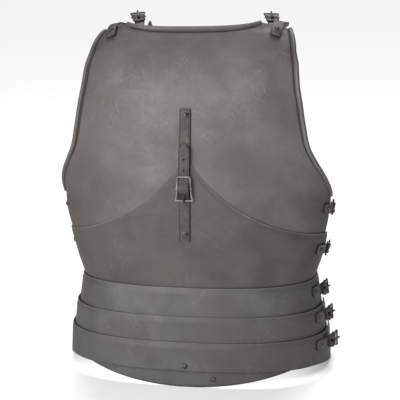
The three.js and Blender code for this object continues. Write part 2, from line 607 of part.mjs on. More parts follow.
// Side buckles: the chape follows the plate, then runs on straight as stiff leather does.
for (const { name, plates, rivetZ, barZ, rivetY, leaveY, splay } of SIDE_BUCKLES) {
  const { form, out } = outerFaces[plates[0]];
  const heightAt = (y) => mix(rivetZ, barZ, (y - rivetY) / CHAPE.run);
  const knot = (y) => {
    const z = heightAt(y);
    const { point, up } = onForm(form, z, angleAtY(form, z, y), out + TOUCH_GAP + LEATHER / 2);
    return { point, across: up.negate() };
  };
  const knots = [rivetY - CHAPE.ahead, rivetY, mix(rivetY, leaveY, 0.5), leaveY].map(knot);
  const leave = knots[knots.length - 1];
  const onwards = vec(Math.sin(splay * DEGREE), Math.cos(splay * DEGREE), (barZ - rivetZ) / CHAPE.run);
  const travelled = leave.point.distanceTo(knots[1].point);
  for (const part of [0.35, 1]) {
    const point = leave.point.clone().addScaledVector(onwards.normalize(), part * (CHAPE.run - travelled));
    knots.push({ point, across: leave.across });
  }
  const grip = LEATHER + TOUCH_GAP + (plates.length > 1 ? 2 * STEEL + PLATE_GAP : STEEL);
  putChape(`side_${name}`, stationsAlong(knots, 9), knots[1].point, plates, grip);
}

// Shoulder straps, over the top edge of the upper plate.
for (const { side, name, line } of SHOULDERS) {
  const knots = line.map(({ out, y, z, turn, drop }) => {
    const [turned, dropped] = [turn * DEGREE, drop * DEGREE];
    const across = vec(Math.cos(turned) * Math.cos(dropped), side * Math.sin(turned) * Math.cos(dropped),
      -side * Math.sin(dropped));
    return { point: vec(side * out, y, z), across };
  });
  const grip = LEATHER + SHOULDER_GAP + STEEL;
  putChape(name, stationsAlong(knots, 14), knots[1].point, ['upper_breastplate'], grip);
}

// Plain straps inside the wearer's right side, which the back plate's buckles take.
for (const { name, plate: node, z, frontY, edgeY } of RIGHT_STRAPS) {
  const { form } = outerFaces[node];
  const inside = -FACET_GAP - LEATHER / 2;
  const knots = [frontY, mix(frontY, edgeY, 0.5), edgeY].map((y) => {
    const { point, up } = onForm(form, z, -angleAtY(form, z, y), inside);
    return { point, across: up };
  });
  const { point, across } = knots[knots.length - 1];
  for (const t of [0.4, 0.7, 1]) {
    knots.push({ point: vec(point.x, mix(point.y, RIGHT_STRAP_END, t), point.z), across });
  }
  put(`right_${name}_strap`, ribbon(stationsAlong(knots, 8), STRAP_WIDTH, LEATHER), strapLeather);
}

// Pointed tab of leather that stands up behind the neck on the wearer's right.
const tabTurn = -SHOULDER_TAB.turn * DEGREE;
const tabKnot = (z) => ({
  point: vec(SHOULDER_TAB.x, SHOULDER_TAB.y, z), across: vec(Math.cos(tabTurn), Math.sin(tabTurn), 0),
});
const tabStations = stationsAlong([SHOULDER_TAB.foot, SHOULDER_TAB.tip].map(tabKnot), 4);
put('neck_tab', ribbon(narrowEnd(tabStations, 2, SHOULDER_TAB.tipWidth / SHOULDER_TAB.width),
  SHOULDER_TAB.width, LEATHER), strapLeather);

// ---------------------------------------------------------------- scene graph

const armour = new THREE.Group();
for (const [name, { manifold, look, notes }] of pieces) {
  const mesh = new THREE.Mesh(geometryOf(manifold), look);
  mesh.name = name;
  mesh.userData = notes;
  armour.add(mesh);
}

// Lean the armour back until the lowest lame and the third lame's rear corners share a level.
const lowest = (name, test) => {
  const { array } = armour.getObjectByName(name).geometry.attributes.position;
  const points = Array.from({ length: array.length / 3 }, (_, k) => vec(...array.slice(3 * k, 3 * k + 3)));
  return points.filter(test).reduce((best, point) => (point.z < best.z ? point : best));
};
const frontFoot = lowest(LAME_4.name, () => true);
const rearFoot = lowest('fauld_lame_3', (point) => point.y > LAME_BACK - 1);
armour.rotation.x = -Math.atan2(rearFoot.z - frontFoot.z, rearFoot.y - frontFoot.y);

// Stand it on the ground, its middle over the origin.
const box = new THREE.Box3().setFromObject(armour, true);
const middle = box.getCenter(vec(0, 0, 0));
armour.position.set(-middle.x, -middle.y, -box.min.z);
const breastplate = new THREE.Group();
breastplate.add(armour);
export default breastplate;
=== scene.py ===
"""Steel breastplate with a plackart, four fauld lames and buckled leather straps.

Every piece is worked out upright, in millimetres, from the tables below: +X is the wearer's
left, -Y the front of the chest and +Z up. One matrix then leans it back on to its feet.
"""

import json
import math
from collections import namedtuple

import bpy
from mathutils import Matrix, Vector, noise

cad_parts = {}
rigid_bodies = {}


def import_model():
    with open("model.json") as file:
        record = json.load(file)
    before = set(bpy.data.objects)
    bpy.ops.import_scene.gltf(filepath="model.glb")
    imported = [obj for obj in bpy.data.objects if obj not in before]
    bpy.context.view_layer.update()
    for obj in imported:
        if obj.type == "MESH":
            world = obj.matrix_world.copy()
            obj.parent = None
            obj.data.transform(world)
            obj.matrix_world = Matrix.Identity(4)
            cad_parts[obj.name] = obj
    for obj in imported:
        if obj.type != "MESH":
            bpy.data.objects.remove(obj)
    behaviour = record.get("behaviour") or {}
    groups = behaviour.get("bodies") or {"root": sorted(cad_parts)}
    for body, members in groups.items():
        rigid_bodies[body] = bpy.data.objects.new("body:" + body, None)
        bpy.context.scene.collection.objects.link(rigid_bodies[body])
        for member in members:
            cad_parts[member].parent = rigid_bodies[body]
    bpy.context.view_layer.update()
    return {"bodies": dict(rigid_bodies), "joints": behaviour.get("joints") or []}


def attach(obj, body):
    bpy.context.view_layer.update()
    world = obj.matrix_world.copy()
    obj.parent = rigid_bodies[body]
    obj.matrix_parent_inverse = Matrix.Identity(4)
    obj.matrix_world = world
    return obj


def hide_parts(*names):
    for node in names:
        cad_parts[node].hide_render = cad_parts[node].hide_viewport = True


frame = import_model()

bl_info = {
    "name": "Steel breastplate",
    "version": (1, 0, 0),
    "blender": (4, 5, 0),
    "location": "3D View > Sidebar > Armour",
    "description": "Dresses a packed breastplate with smooth plates, straps, buckles and finishes",
    "category": "Object",
}

# ---------------------------------------------------------------- driving sizes, in millimetres

MM = 0.001
STEEL = 1.8
PLATE_GAP = 1.2
LEATHER = 2.2
TOUCH_GAP = 0.4
FACET_GAP = 2.2
ROUNDNESS = 2.5
ROLL_RADIUS = 3.2
ROLL_FROM = 0.215
ROLL_PROUD = 0.5              # how far the roll stands outside the plate's middle
LEAN = math.radians(-5.552971)

# The body that all plates follow: height, half width, depth in front of the side seam, and
# the angle round at which the upper plate ends.
BODY_COLUMNS = ("z", "width", "depth", "edge")
BODY_ROWS = (
    (130, 169.8, 111, 99), (146, 168.3, 110.9, 97), (160, 172.6, 112, 92.5),
    (180, 179.4, 113, 86), (212, 188.4, 113.8, 76), (240, 196.4, 114.4, 71.5),
    (262, 199.2, 114.8, 71.5), (275, 200, 115, 70.8), (285, 203.5, 115, 65.7),
    (295, 209, 114.9, 59.8), (305, 215, 114.7, 54.6), (315, 221, 114.3, 50.2),
    (325, 225.5, 113.8, 46.7), (345, 232, 112.6, 42), (375, 235, 110.4, 39.5),
    (405, 233, 106.6, 38.5), (430, 226, 101.2, 38.6), (455, 210, 93.4, 41.2),
    (480, 180, 82, 47.8), (500, 149.5, 68.6, 60.4), (507, 136, 63, 71.5),
    (520, 121, 52.5, 76),
)
BODY = [dict(zip(BODY_COLUMNS, row)) for row in BODY_ROWS]
UPPER = {"bottom": 184, "neck_middle": 507.4, "neck_corner": 515, "shoulder_end": 505.5,
         "corner_at": 0.64, "crowding": 1.35}
PLACKART = {"bottom": 139, "side": 218, "point": 117, "fall": 76, "reach": 200, "beyond": 1.5}
PLACKART_IN = STEEL + PLATE_GAP
PLACKART_OUT = PLACKART_IN + STEEL

# Lames by their inner face: heights of both edges, half widths and depths there, and how far
# the lower edge drops towards the rear corners.
Lame = namedtuple("Lame", "name top bottom drop top_width bottom_width top_depth bottom_depth")
LAMES = (
    Lame("fauld_lame_1", 150, 100, 0, 174.8, 182.2, 117.3, 118.8),
    Lame("fauld_lame_2", 109, 62, 0, 185.4, 190, 121, 122),
    Lame("fauld_lame_3", 73, 31, 9, 193.4, 195.6, 124.6, 125.2),
)
LAME_4 = {"top": 52, "middle": 8, "rise": 20, "rise_at": 140, "most": 1.6, "side_y": -42}
LAME_4_WIDTH, LAME_4_DEPTH = 190.6, 122.2
DROP_FROM = 0.55
LAME_BACK = 20

Buckle = namedtuple("Buckle", "wide narrow to_wide to_narrow tilt")
BAR = 2.2
FRAME_SIDE = 2.5
HINGE = 1.3
HINGE_ENDS = 1.4
TONGUE_WIDTH = 3
TONGUE_PAST = 2.4
SIDE_BUCKLE = Buckle(24, 19, 15.4, -13.2, 2)
CENTRE_BUCKLE = Buckle(26.5, 20.6, 17, -16.5, 4.3)
FLARE_POWER = 2.6
PLAY = 0.35
STRAP_WIDTH = 15.4
FOLD_WIDTH = 14.8
FOLD_WALL = 1.8
CREASE_IN, CREASE_DEPTH, CROWN = 1.7, 0.4, 0.15
FRONT_ROUND, FRONT_SQUARE = 3.2, 0.62  # length of a strap's rounded front, and its straight part
GUARD = {"z": -2.85, "start": -8, "end": 14.6, "width": 18.6, "thick": 1.5}
BORDER = 2.3                  # width of a strap's darker border
FOLD_RADIUS = HINGE + PLAY + FOLD_WALL
FOLD_RISE = FOLD_RADIUS - LEATHER / 2
SLOT_WIDTH = TONGUE_WIDTH + 1.4

RIVET = {"head": 3.5, "dome": 2.2, "shank": 1.6, "tail": 2.9, "tail_thick": 1.2, "tail_gap": 1.3}
WASHER = {"radius": 5.7, "thick": 0.9}
LAME_RIVETS = {"third_z": 39, "fourth_x": 39.4, "fourth_z": 21}

Chape = namedtuple("Chape", "name plate both rivet_z bar_z rivet_y leave_y splay")
SIDE_CHAPES = (
    Chape("chest", "upper_breastplate", False, 256, 252, -46, -37, -2),
    Chape("waist", "plackart", True, 197, 193, -43, -14, 0),
    Chape("lame_1", "fauld_lame_1", False, 131, 129, -37, -29, 15),
    Chape("lame_2", "fauld_lame_2", False, 95.5, 93.5, -45.5, -36, 16),
    Chape("lame_3", "fauld_lame_3", False, 58, 57, -56, -44, 22),
)
CHAPE_AHEAD, CHAPE_RUN = 8, 36
RightStrap = namedtuple("RightStrap", "name plate z front_y edge_y")
RIGHT_STRAPS = (
    RightStrap("chest", "upper_breastplate", 254, -68, -38),
    RightStrap("waist", "upper_breastplate", 198, -50, -20),
    RightStrap("lame_1", "fauld_lame_1", 127, -28, 14),
    RightStrap("lame_2", "fauld_lame_2", 89, -28, 14),
    RightStrap("lame_3", "fauld_lame_3", 47, -28, 14),
)
RIGHT_STRAP_END = 48
RIGHT_RIVET_BACK = 9          # how far in front of the plate's edge a right strap's rivet sits

CENTRE = {"top": 399.5, "top_rivet": 390.6, "step_top": 347, "step_foot": 338, "bar": 291,
          "tip": 351, "low_rivet": 225.7, "bottom": 217}
CENTRE_RISE = 5.6
BILLET_THICK, BILLET_WIDTH, BILLET_TIP = 2, 15.4, 9
THREADING = (
    (30, 1.4), (22, 1.4), (17, 1.55), (12, 2.4), (8, 5.4), (4, 9.3), (0, 10.7), (-4, 9.3),
    (-8, 6.6), (-12, 4.7), (-16, 4.15), (-24, 4.1), (-40, 4.1),
)
PIERCED = {"width": 4.2, "start": 3.2, "end": 11, "low": 4.6, "high": 8.7}
BILLET_HOLES = (331.5, 316, 302)
HOLE_RADIUS = 1.35

SHOULDER_GAP = 2
Knot = namedtuple("Knot", "out y z turn drop")
SHOULDERS = {
    "left_shoulder": (1, (
        Knot(116.7, -59.4, 497.8, 26, 0), Knot(118.6, -49, 507.4, 26, 3),
        Knot(120, -29, 515.8, 26, 8), Knot(124.5, -12, 516.5, 24, 8),
        Knot(121, 6, 512.5, 26, 6), Knot(111, 20, 511, 22, 5),
        Knot(104.5, 33, 517, 10, 5), Knot(101.8, 46, 523, 4, 5))),
    "right_shoulder": (-1, (
        Knot(116.7, -59.4, 497.8, 26, 0), Knot(118.6, -49, 507.4, 26, 3),
        Knot(118, -29, 516.1, 24, 8), Knot(114, -12, 516, 24, 8),
        Knot(104, 6, 512.5, 26, 6), Knot(97, 20, 512, 8, 5),
        Knot(97, 33, 519, -10, 5), Knot(101.5, 46, 526, -14, 5))),
}
NECK_TAB = {"x": -62.5, "y": -46.5, "foot": 496, "tip": 519.5, "width": 13, "tip_width": 2, "turn": 20}
FAULD_LEATHER = ((168, -112.6), (139, -111.6), (120, -113.4), (100, -116.4), (80, -118.4),
                 (62, -120), (50, -120.4), (14, -120.4))

SHADE_GAIN, HIGHLIGHT_GAIN = 0.12, 1.88    # how far the painted shade darkens and the painted highlight brightens the steel
ROOM_LIGHT = 0.16             # strength of the light from all round the room

# ---------------------------------------------------------------- the forms, as formulas


def mix(a, b, t):
    return a + (b - a) * t


def clamp(value, low, high):
    return min(max(value, low), high)


def smooth_step(value, low, high):
    t = clamp((value - low) / (high - low), 0, 1)
    return t * t * (3 - 2 * t)


def column(table, name, z):
    """A smooth value of one named column between the rows of a table that rises in z."""
    last = len(table) - 1
    above = next((k for k, row in enumerate(table) if row["z"] > z), last)
    k = clamp(above - 1, 0, last - 1)

    def slope(j):
        a, b = table[max(j - 1, 0)], table[min(j + 1, last)]
        return (b[name] - a[name]) / (b["z"] - a["z"])

    p, q = table[k], table[k + 1]
    h = q["z"] - p["z"]
    t = clamp((z - p["z"]) / h, 0, 1)
    t2, t3 = t * t, t * t * t
    return (p[name] * (2 * t3 - 3 * t2 + 1) + h * slope(k) * (t3 - 2 * t2 + t)
            + q[name] * (3 * t2 - 2 * t3) + h * slope(k + 1) * (t3 - t2))


def body(z):
    """Half width and depth of the body at a height."""
    return column(BODY, "width", z), column(BODY, "depth", z)


def band(lame):
    """A lame's half width and depth, as a function of height."""
    def form(z):
        t = (z - lame.bottom) / (lame.top - lame.bottom)
        return (mix(lame.bottom_width, lame.top_width, t),
                mix(lame.bottom_depth, lame.top_depth, t))
    return form


def lame_4_form(_z):
    return LAME_4_WIDTH, LAME_4_DEPTH


def on_form(form, z, angle, out=0.0):
    """Point, outward normal and upward direction of a form at a height and angle round."""
    def at(height, a):
        s, c = math.sin(a), math.cos(a)
        k = (abs(s) ** ROUNDNESS + abs(c) ** ROUNDNESS) ** (1 / ROUNDNESS)
        width, depth = form(height)
        return Vector((width * s / k, -depth * c / k, height))
    step = 0.002
    along = at(z, angle + step) - at(z, angle - step)
    up = at(z + 0.5, angle) - at(z - 0.5, angle)
    normal = along.cross(up).normalized()
    return at(z, angle) + normal * out, normal, up.normalized()


def angle_at_y(form, z, y):
    """The angle round at which a form reaches a given y, on the side of +X."""
    forward = -y / form(z)[1]
    return math.atan2((1 - abs(forward) ** ROUNDNESS) ** (1 / ROUNDNESS), forward)


def upper_edge(z):
    return math.radians(column(BODY, "edge", z))


def upper_grid(v, c):
    """Height and angle of the upper plate at shares up it and across it (-1 to 1)."""
    t = 1 - (1 - v) ** UPPER["crowding"]
    edge_z = mix(UPPER["bottom"], UPPER["shoulder_end"], t)
    a, corner = abs(c), UPPER["corner_at"]
    if a < corner:
        top = mix(UPPER["neck_middle"], UPPER["neck_corner"], (a / corner) ** 3)
    else:
        top = mix(UPPER["neck_corner"], UPPER["shoulder_end"], (a - corner) / (1 - corner))
    return mix(UPPER["bottom"], top, t), c * upper_edge(edge_z)


def plackart_top(x):
    a = abs(x)
    return (PLACKART["side"] + PLACKART["point"] * math.exp(-a / PLACKART["fall"])
            * (1 - (a / PLACKART["reach"]) ** 3))


def plackart_grid(v, c):
    """Height and angle of the plackart; each depends on the other, so both are settled."""
    z, angle = PLACKART["side"], 0
    for _ in range(8):
        angle = c * (upper_edge(min(z, PLACKART["side"])) + math.radians(PLACKART["beyond"]))
        width, depth = body(z)
        s, co = math.sin(angle), math.cos(angle)
        x = width * s / (abs(s) ** ROUNDNESS + abs(co) ** ROUNDNESS) ** (1 / ROUNDNESS)
        z = mix(PLACKART["bottom"], plackart_top(x), v)
    return z, angle


def lame_grid(lame, form):
    def grid(v, c):
        drop = lame.drop * smooth_step(abs(c), DROP_FROM, 1)
        z = mix(lame.bottom - drop, lame.top, v)
        return z, c * angle_at_y(form, z, LAME_BACK)
    return grid


def lame_4_grid(v, c):
    angle = c * angle_at_y(lame_4_form, 0, LAME_4["side_y"])
    x = on_form(lame_4_form, 0, angle)[0].x
    bottom = LAME_4["middle"] + LAME_4["rise"] * min((x / LAME_4["rise_at"]) ** 2, LAME_4["most"])
    return mix(bottom, LAME_4["top"], v), angle


# ---------------------------------------------------------------- straps, as stations

Station = namedtuple("Station", "point across tangent normal")


def catmull_rom(points, t):
    """Centripetal curve through points, at a share of its run from 0 to 1."""
    count = len(points)
    place = (count - 1) * clamp(t, 0, 1)
    k = min(int(place), count - 2)
    w = place - k
    p1, p2 = points[k], points[k + 1]
    p0 = points[k - 1] if k else p1 * 2 - p2
    p3 = points[k + 2] if k + 2 < count else p2 * 2 - p1
    d0, d1, d2 = (max((b - a).length, 1e-4) ** 0.5 for a, b in ((p0, p1), (p1, p2), (p2, p3)))
    t1 = ((p1 - p0) / d0 - (p2 - p0) / (d0 + d1) + (p2 - p1) / d1) * d1
    t2 = ((p2 - p1) / d1 - (p3 - p1) / (d1 + d2) + (p3 - p2) / d2) * d1
    return (p1 + t1 * w + (p2 * 3 - p1 * 3 - t1 * 2 - t2) * w * w
            + (p1 * 2 - p2 * 2 + t1 + t2) * w ** 3)


def stations_along(knots, steps):
    """Stations of a strap along a smooth line through (point, direction across) knots."""
    points, turns = [k[0] for k in knots], [k[1] for k in knots]
    found = []
    for k in range(steps + 1):
        t = k / steps
        near, far = clamp(t - 1e-4, 0, 1), clamp(t + 1e-4, 0, 1)
        tangent = (catmull_rom(points, far) - catmull_rom(points, near)).normalized()
        across = catmull_rom(turns, t)
        across = (across - tangent * across.dot(tangent)).normalized()
        found.append(Station(catmull_rom(points, t), across, tangent, across.cross(tangent).normalized()))
    return found


def face_station(stations, point, thickness):
    """A point of a strap's middle line moved on to its outer face."""
    nearest = min(stations, key=lambda s: (s.point - point).length)
    return nearest._replace(point=point + nearest.normal * thickness / 2)


def frame_at(station):
    """Local frame: x across the strap, y along it, z out."""
    matrix = Matrix((station.across, station.tangent, station.normal)).transposed().to_4x4()
    matrix.translation = station.point
    return matrix


def hinge_frame(stations):
    last = stations[-1]
    return frame_at(last._replace(point=last.point + last.normal * FOLD_RISE))


def tilted(hinge, size):
    return hinge @ Matrix.Rotation(math.radians(-size.tilt), 4, "X")


def plate_form(name):
    """A plate's form and how far its outer face lies from it."""
    forms = {"upper_breastplate": (body, STEEL), "plackart": (body, PLACKART_OUT)}
    forms.update({lame.name: (band(lame), STEEL) for lame in LAMES})
    forms["fauld_lame_4"] = (lame_4_form, STEEL)
    return forms[name]


def on_plate(name, z, angle):
    form, out = plate_form(name)
    point, normal, up = on_form(form, z, angle, out)
    return Station(point, up.cross(normal), up, normal)


def side_chape(chape):
    """Stations, rivet station and grip of one side buckle's leather."""
    form, out = plate_form(chape.plate)

    def knot(y):
        z = mix(chape.rivet_z, chape.bar_z, (y - chape.rivet_y) / CHAPE_RUN)
        point, _, up = on_form(form, z, angle_at_y(form, z, y), out + TOUCH_GAP + LEATHER / 2)
        return point, -up
    ys = (chape.rivet_y - CHAPE_AHEAD, chape.rivet_y, mix(chape.rivet_y, chape.leave_y, 0.5), chape.leave_y)
    knots = [knot(y) for y in ys]
    point, across = knots[-1]
    splay = math.radians(chape.splay)
    onwards = Vector((math.sin(splay), math.cos(splay), (chape.bar_z - chape.rivet_z) / CHAPE_RUN)).normalized()
    left = CHAPE_RUN - (point - knots[1][0]).length
    knots += [(point + onwards * part * left, across) for part in (0.35, 1)]
    stations = stations_along(knots, 40)
    grip = LEATHER + TOUCH_GAP + (2 * STEEL + PLATE_GAP if chape.both else STEEL)
    return stations, face_station(stations, knots[1][0], LEATHER), grip


def shoulder_strap(side, line):
    knots = []
    for knot in line:
        turned, dropped = math.radians(knot.turn), math.radians(knot.drop)
        across = Vector((math.cos(turned) * math.cos(dropped),
                         side * math.sin(turned) * math.cos(dropped), -side * math.sin(dropped)))
        knots.append((Vector((side * knot.out, knot.y, knot.z)), across))
    stations = stations_along(knots, 60)
    return stations, face_station(stations, knots[1][0], LEATHER), LEATHER + SHOULDER_GAP + STEEL


def on_front(z, height):
    """A point over the middle of the chest, by its height above the plackart's outer face."""
    return on_form(body, z, 0, PLACKART_OUT + height)[0]


def centre_upper():
    """Stations, hinge frame and rivet station of the strap's fixed upper half."""
    over_upper = TOUCH_GAP + LEATHER / 2 - STEEL - PLATE_GAP
    over_plackart = TOUCH_GAP + LEATHER / 2
    heights = [(CENTRE["top"], over_upper), (CENTRE["top_rivet"], over_upper), (370, over_upper),
               (355, over_upper), (CENTRE["step_top"], over_upper), (CENTRE["step_foot"], over_plackart),
               (328, over_plackart), (312, over_plackart), (CENTRE["bar"] + 9, over_plackart),
               (CENTRE["bar"], CENTRE_RISE - FOLD_RISE)]
    stations = stations_along([(on_front(z, h), Vector((-1, 0, 0))) for z, h in heights], 90)
    tangent = (on_front(CENTRE["bar"] - 1, CENTRE_RISE) - on_front(CENTRE["bar"] + 1, CENTRE_RISE)).normalized()
    across = Vector((-1, 0, 0))
    hinge = frame_at(Station(on_front(CENTRE["bar"], CENTRE_RISE), across, tangent, across.cross(tangent)))
    return stations, hinge, face_station(stations, on_front(CENTRE["top_rivet"], over_upper), LEATHER)


def billet():
    """Stations and rivet station of the free half, which threads the buckle from below."""
    over = TOUCH_GAP + BILLET_THICK / 2
    heights = [(CENTRE["bottom"], over), (CENTRE["low_rivet"], over), (240, over)]
    heights += [(CENTRE["bar"] - along, height) for along, height in THREADING]
    heights += [(CENTRE["tip"] - 6, 4.1), (CENTRE["tip"], 3.8)]
    stations = stations_along([(on_front(z, h), Vector((1, 0, 0))) for z, h in heights], 150)
    return stations, face_station(stations, on_front(CENTRE["low_rivet"], over), BILLET_THICK)


def right_strap(strap):
    """Stations of a plain strap inside the wearer's right side."""
    form = plate_form(strap.plate)[0]
    knots = []
    for y in (strap.front_y, mix(strap.front_y, strap.edge_y, 0.5), strap.edge_y):
        point, _, up = on_form(form, strap.z, -angle_at_y(form, strap.z, y), -FACET_GAP - LEATHER / 2)
        knots.append((point, up))
    point, across = knots[-1]
    knots += [(Vector((point.x, mix(point.y, RIGHT_STRAP_END, t), point.z)), across) for t in (0.4, 0.7, 1)]
    return stations_along(knots, 40)


def placement():
    """Upright millimetres to the frame's metres: leaned back, then set by a shoulder's hinge."""
    lean = Matrix.Rotation(LEAN, 4, "X")
    side, line = SHOULDERS["left_shoulder"]
    hinge = hinge_frame(shoulder_strap(side, line)[0]).translation
    joint = next(j for j in frame["joints"] if j["name"] == "left_shoulder_tongue_hinge")
    shift = Vector(joint["pos_m"]) - lean @ (hinge * MM)
    return Matrix.Translation(shift) @ lean @ Matrix.Scale(MM, 4)


TO_WORLD = placement()

# ---------------------------------------------------------------- making meshes


def select_only(*objects):
    bpy.ops.object.select_all(action="DESELECT")
    for obj in objects:
        obj.select_set(True)
    bpy.context.view_layer.objects.active = objects[0]


def formed(name, columns, rows, place, tube=False, wear=None):
    """A grid whose crossings are put where a formula says, and closed to a tube where asked.
    The last argument gives each crossing's brightening above zero and darkening below zero: painted highlight and
    painted shade on the plates; on the straps, darker borders, a paler middle and painted shade under the buckles."""
    bpy.ops.object.select_all(action="DESELECT")
    bpy.ops.mesh.primitive_grid_add(x_subdivisions=columns, y_subdivisions=rows, size=1)
    piece = bpy.context.object
    piece.name = name
    worn_and_painted_light = []
    for vertex in piece.data.vertices:
        i = round((vertex.co.x + 0.5) * columns)
        j = round((vertex.co.y + 0.5) * rows)
        vertex.co = TO_WORLD @ place(i, j)
        worn_and_painted_light.append(wear(i, j) if wear else 0.0)
    piece.data.attributes.new("wear", "FLOAT", "POINT").data.foreach_set("value", worn_and_painted_light)
    if tube:
        bpy.ops.object.mode_set(mode="EDIT")
        bpy.ops.mesh.select_all(action="SELECT")
        bpy.ops.mesh.remove_doubles(threshold=0.004 * MM)
        bpy.ops.mesh.select_all(action="SELECT")
        bpy.ops.mesh.fill_holes(sides=0)
        bpy.ops.mesh.select_all(action="SELECT")
        bpy.ops.mesh.normals_make_consistent(inside=False)
        bpy.ops.object.mode_set(mode="OBJECT")
    return piece


def rounded(width, thick, radius, steps=3):
    """Closed outline of a strap or bar: a rectangle with round corners."""
    points = []
    for turn, (sx, sy) in enumerate(((1, 1), (-1, 1), (-1, -1), (1, -1))):
        cx, cy = sx * (width / 2 - radius), sy * (thick / 2 - radius)
        for k in range(steps + 1):
            a = math.radians(90 * turn + 90 * k / steps)
            points.append((cx + radius * math.cos(a), cy + radius * math.sin(a)))
    return points


def strap_outline(width, thick):
    """Section of a strap: round edges, a creased line inside each border, a slight crown."""
    points = rounded(width, thick, 0.6)
    corner = width / 2 - 0.6
    top = []
    for k in range(17):
        x = corner - 2 * corner * k / 16
        crease = CREASE_DEPTH * math.exp(-((abs(x) - width / 2 + CREASE_IN) / 0.42) ** 2)
        top.append((x, thick / 2 + CROWN * (1 - (x / corner) ** 2) - crease))
    return points[:3] + top + points[5:]


def strap_tone(width):
    """A strap's borders darker, and the middle of its outer face paler."""
    def worn_and_painted_light(x, y, _share):
        border = smooth_step(abs(x), width / 2 - BORDER, width / 2 - 0.5)
        return (0.35 if y > 0 else 0) * (1 - border) - 0.9 * border
    return worn_and_painted_light


def swept(name, stations, outline, narrow=None, ring=False, wear=None):
    """An outline carried along stations. narrow gives its width factor by share of the run, and the last argument the
    darkening or brightening by outline point and share of the run: a strap's darker borders and paler middle, and
    painted shade under a buckle."""
    last = len(stations) - 1

    def place(i, j):
        station = stations[j % len(stations)]
        x, y = outline[i % len(outline)]
        factor = narrow(j / last) if narrow else 1
        return station.point + station.across * x * factor + station.normal * y

    def worn_and_painted_light(i, j):
        return wear(*outline[i % len(outline)], j / last)
    return formed(name, len(outline), len(stations) if ring else last, place, tube=True,
                  wear=worn_and_painted_light if wear else None)


def turned(name, profile, place, sides=28):
    """A turned piece: a profile of (radius, height) points spun about a frame's z."""
    def at(i, j):
        radius, height = profile[j]
        a = 2 * math.pi * (i % sides) / sides
        return place @ Vector((radius * math.cos(a), radius * math.sin(a), height))
    return formed(name, sides, len(profile) - 1, at, tube=True)


def apply(piece, kind, **settings):
    """Add a modifier with its settings and apply it."""
    select_only(piece)
    modifier = piece.modifiers.new(kind.title(), kind)
    for key, value in settings.items():
        setattr(modifier, key, value)
    bpy.ops.object.modifier_apply(modifier=modifier.name)


def joined(name, pieces):
    select_only(*pieces)
    if len(pieces) > 1:
        bpy.ops.object.join()
    piece = bpy.context.view_layer.objects.active
    piece.name = name
    return piece


def dress(piece, node, finish, body_name="root", smooth=35):
    """Finish a piece: its shading, material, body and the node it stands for."""
    select_only(piece)
    bpy.ops.object.shade_smooth_by_angle(angle=math.radians(smooth))
    piece.data.materials.clear()
    piece.data.materials.append(finish)
    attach(piece, body_name)
    if node:
        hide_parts(node)


def unevenness(point, size, amount):
    """How far hand-raised metal lies off its true form at a point."""
    return amount * noise.noise(point / size)


# hug pulls a plate's top edge in against the plate inside it; lip is a painted highlight along the top edge, foot
# painted shade along the bottom edge, and sides painted shade towards the plate's sides.
Edge = namedtuple("Edge", "hug lip foot sides")
PLATE_EDGES = {
    "upper": Edge(0, 0, 0, 0.55),
    "plackart": Edge(0.95, 0.9, 0, 0.5),
    "lame": Edge(0.95, 0.35, 0.25, 0.45),
    "last_lame": Edge(0, 0, 0.8, 0.45),
}
ROLL_CREASE = {"at": 4.6, "wide": 1.5, "deep": 0.9}
EDGE_CROWDING = 1.6           # how much closer a plate's rows lie towards its edges


def crowded(t):
    return 1 - (1 - t) ** EDGE_CROWDING


def sheet_of(name, columns, rows, form, grid, middle, edge, wave=0.3):
    """A plate as a thick shell: its middle face by formula, then its thickness and soft rims.
    Its top edge hugs the plate inside it, and the rolled plate has a crease along its rolls."""
    rolled = edge is PLATE_EDGES["upper"]

    def where(i, j):
        c = 2 * i / columns - 1
        c = math.copysign(crowded(abs(c)), c)
        z, angle = grid(crowded(j / rows), c)
        return z, angle, c, grid(1, c)[0] - z, z - grid(0, c)[0]

    def crease(z, angle, c, below):
        """Share of the crease beside the rolls at a place."""
        inward = (1 - abs(c)) * abs(angle / c if c else 1) * form(z)[0]
        beside = inward if j_above_roll(z) else 99
        at, wide = ROLL_CREASE["at"], ROLL_CREASE["wide"]
        neck = below if abs(c) < UPPER["corner_at"] else 99
        return max(math.exp(-((d - at) / wide) ** 2) for d in (beside, neck))

    def place(i, j):
        z, angle, c, below, _ = where(i, j)
        point, normal, _ = on_form(form, z, angle, middle)
        shift = unevenness(point, 55, wave) + unevenness(point, 19, wave / 4)
        shift -= edge.hug * (1 - smooth_step(below, 0.5, 9))
        if rolled:
            shift -= ROLL_CREASE["deep"] * crease(z, angle, c, below)
        return point + normal * shift

    def worn_and_painted_light(i, j):
        z, angle, c, below, above = where(i, j)
        # Painted light: shade towards the sides, a highlight along the top edge, shade along the bottom edge and, on
        # the rolled plate, shade in the crease beside the rolls.
        value = -edge.sides * smooth_step(abs(math.degrees(angle)), 38, 84)
        value += edge.lip * (1 - smooth_step(below, 0.6, 1.6))
        value -= edge.foot * (1 - smooth_step(above, 0.8, 2.2))
        if rolled:
            value -= 0.9 * crease(z, angle, c, below)
        return clamp(value, -1, 1)
    piece = formed(name, columns, rows, place, wear=worn_and_painted_light)
    apply(piece, "SOLIDIFY", thickness=STEEL * MM, offset=0, use_even_offset=True)
    apply(piece, "BEVEL", width=0.5 * MM, segments=2, limit_method="ANGLE", angle_limit=math.radians(50))
    return piece


def j_above_roll(z):
    """Whether the armhole's roll runs at a height."""
    return z > mix(UPPER["bottom"], UPPER["shoulder_end"], 1 - (1 - ROLL_FROM) ** UPPER["crowding"])


# ---------------------------------------------------------------- materials


def linear(code):
    """Linear colour of an sRGB hex code."""
    parts = [int(code[k:k + 2], 16) / 255 for k in (0, 2, 4)]
    return tuple(p / 12.92 if p <= 0.04045 else ((p + 0.055) / 1.055) ** 2.4 for p in parts)


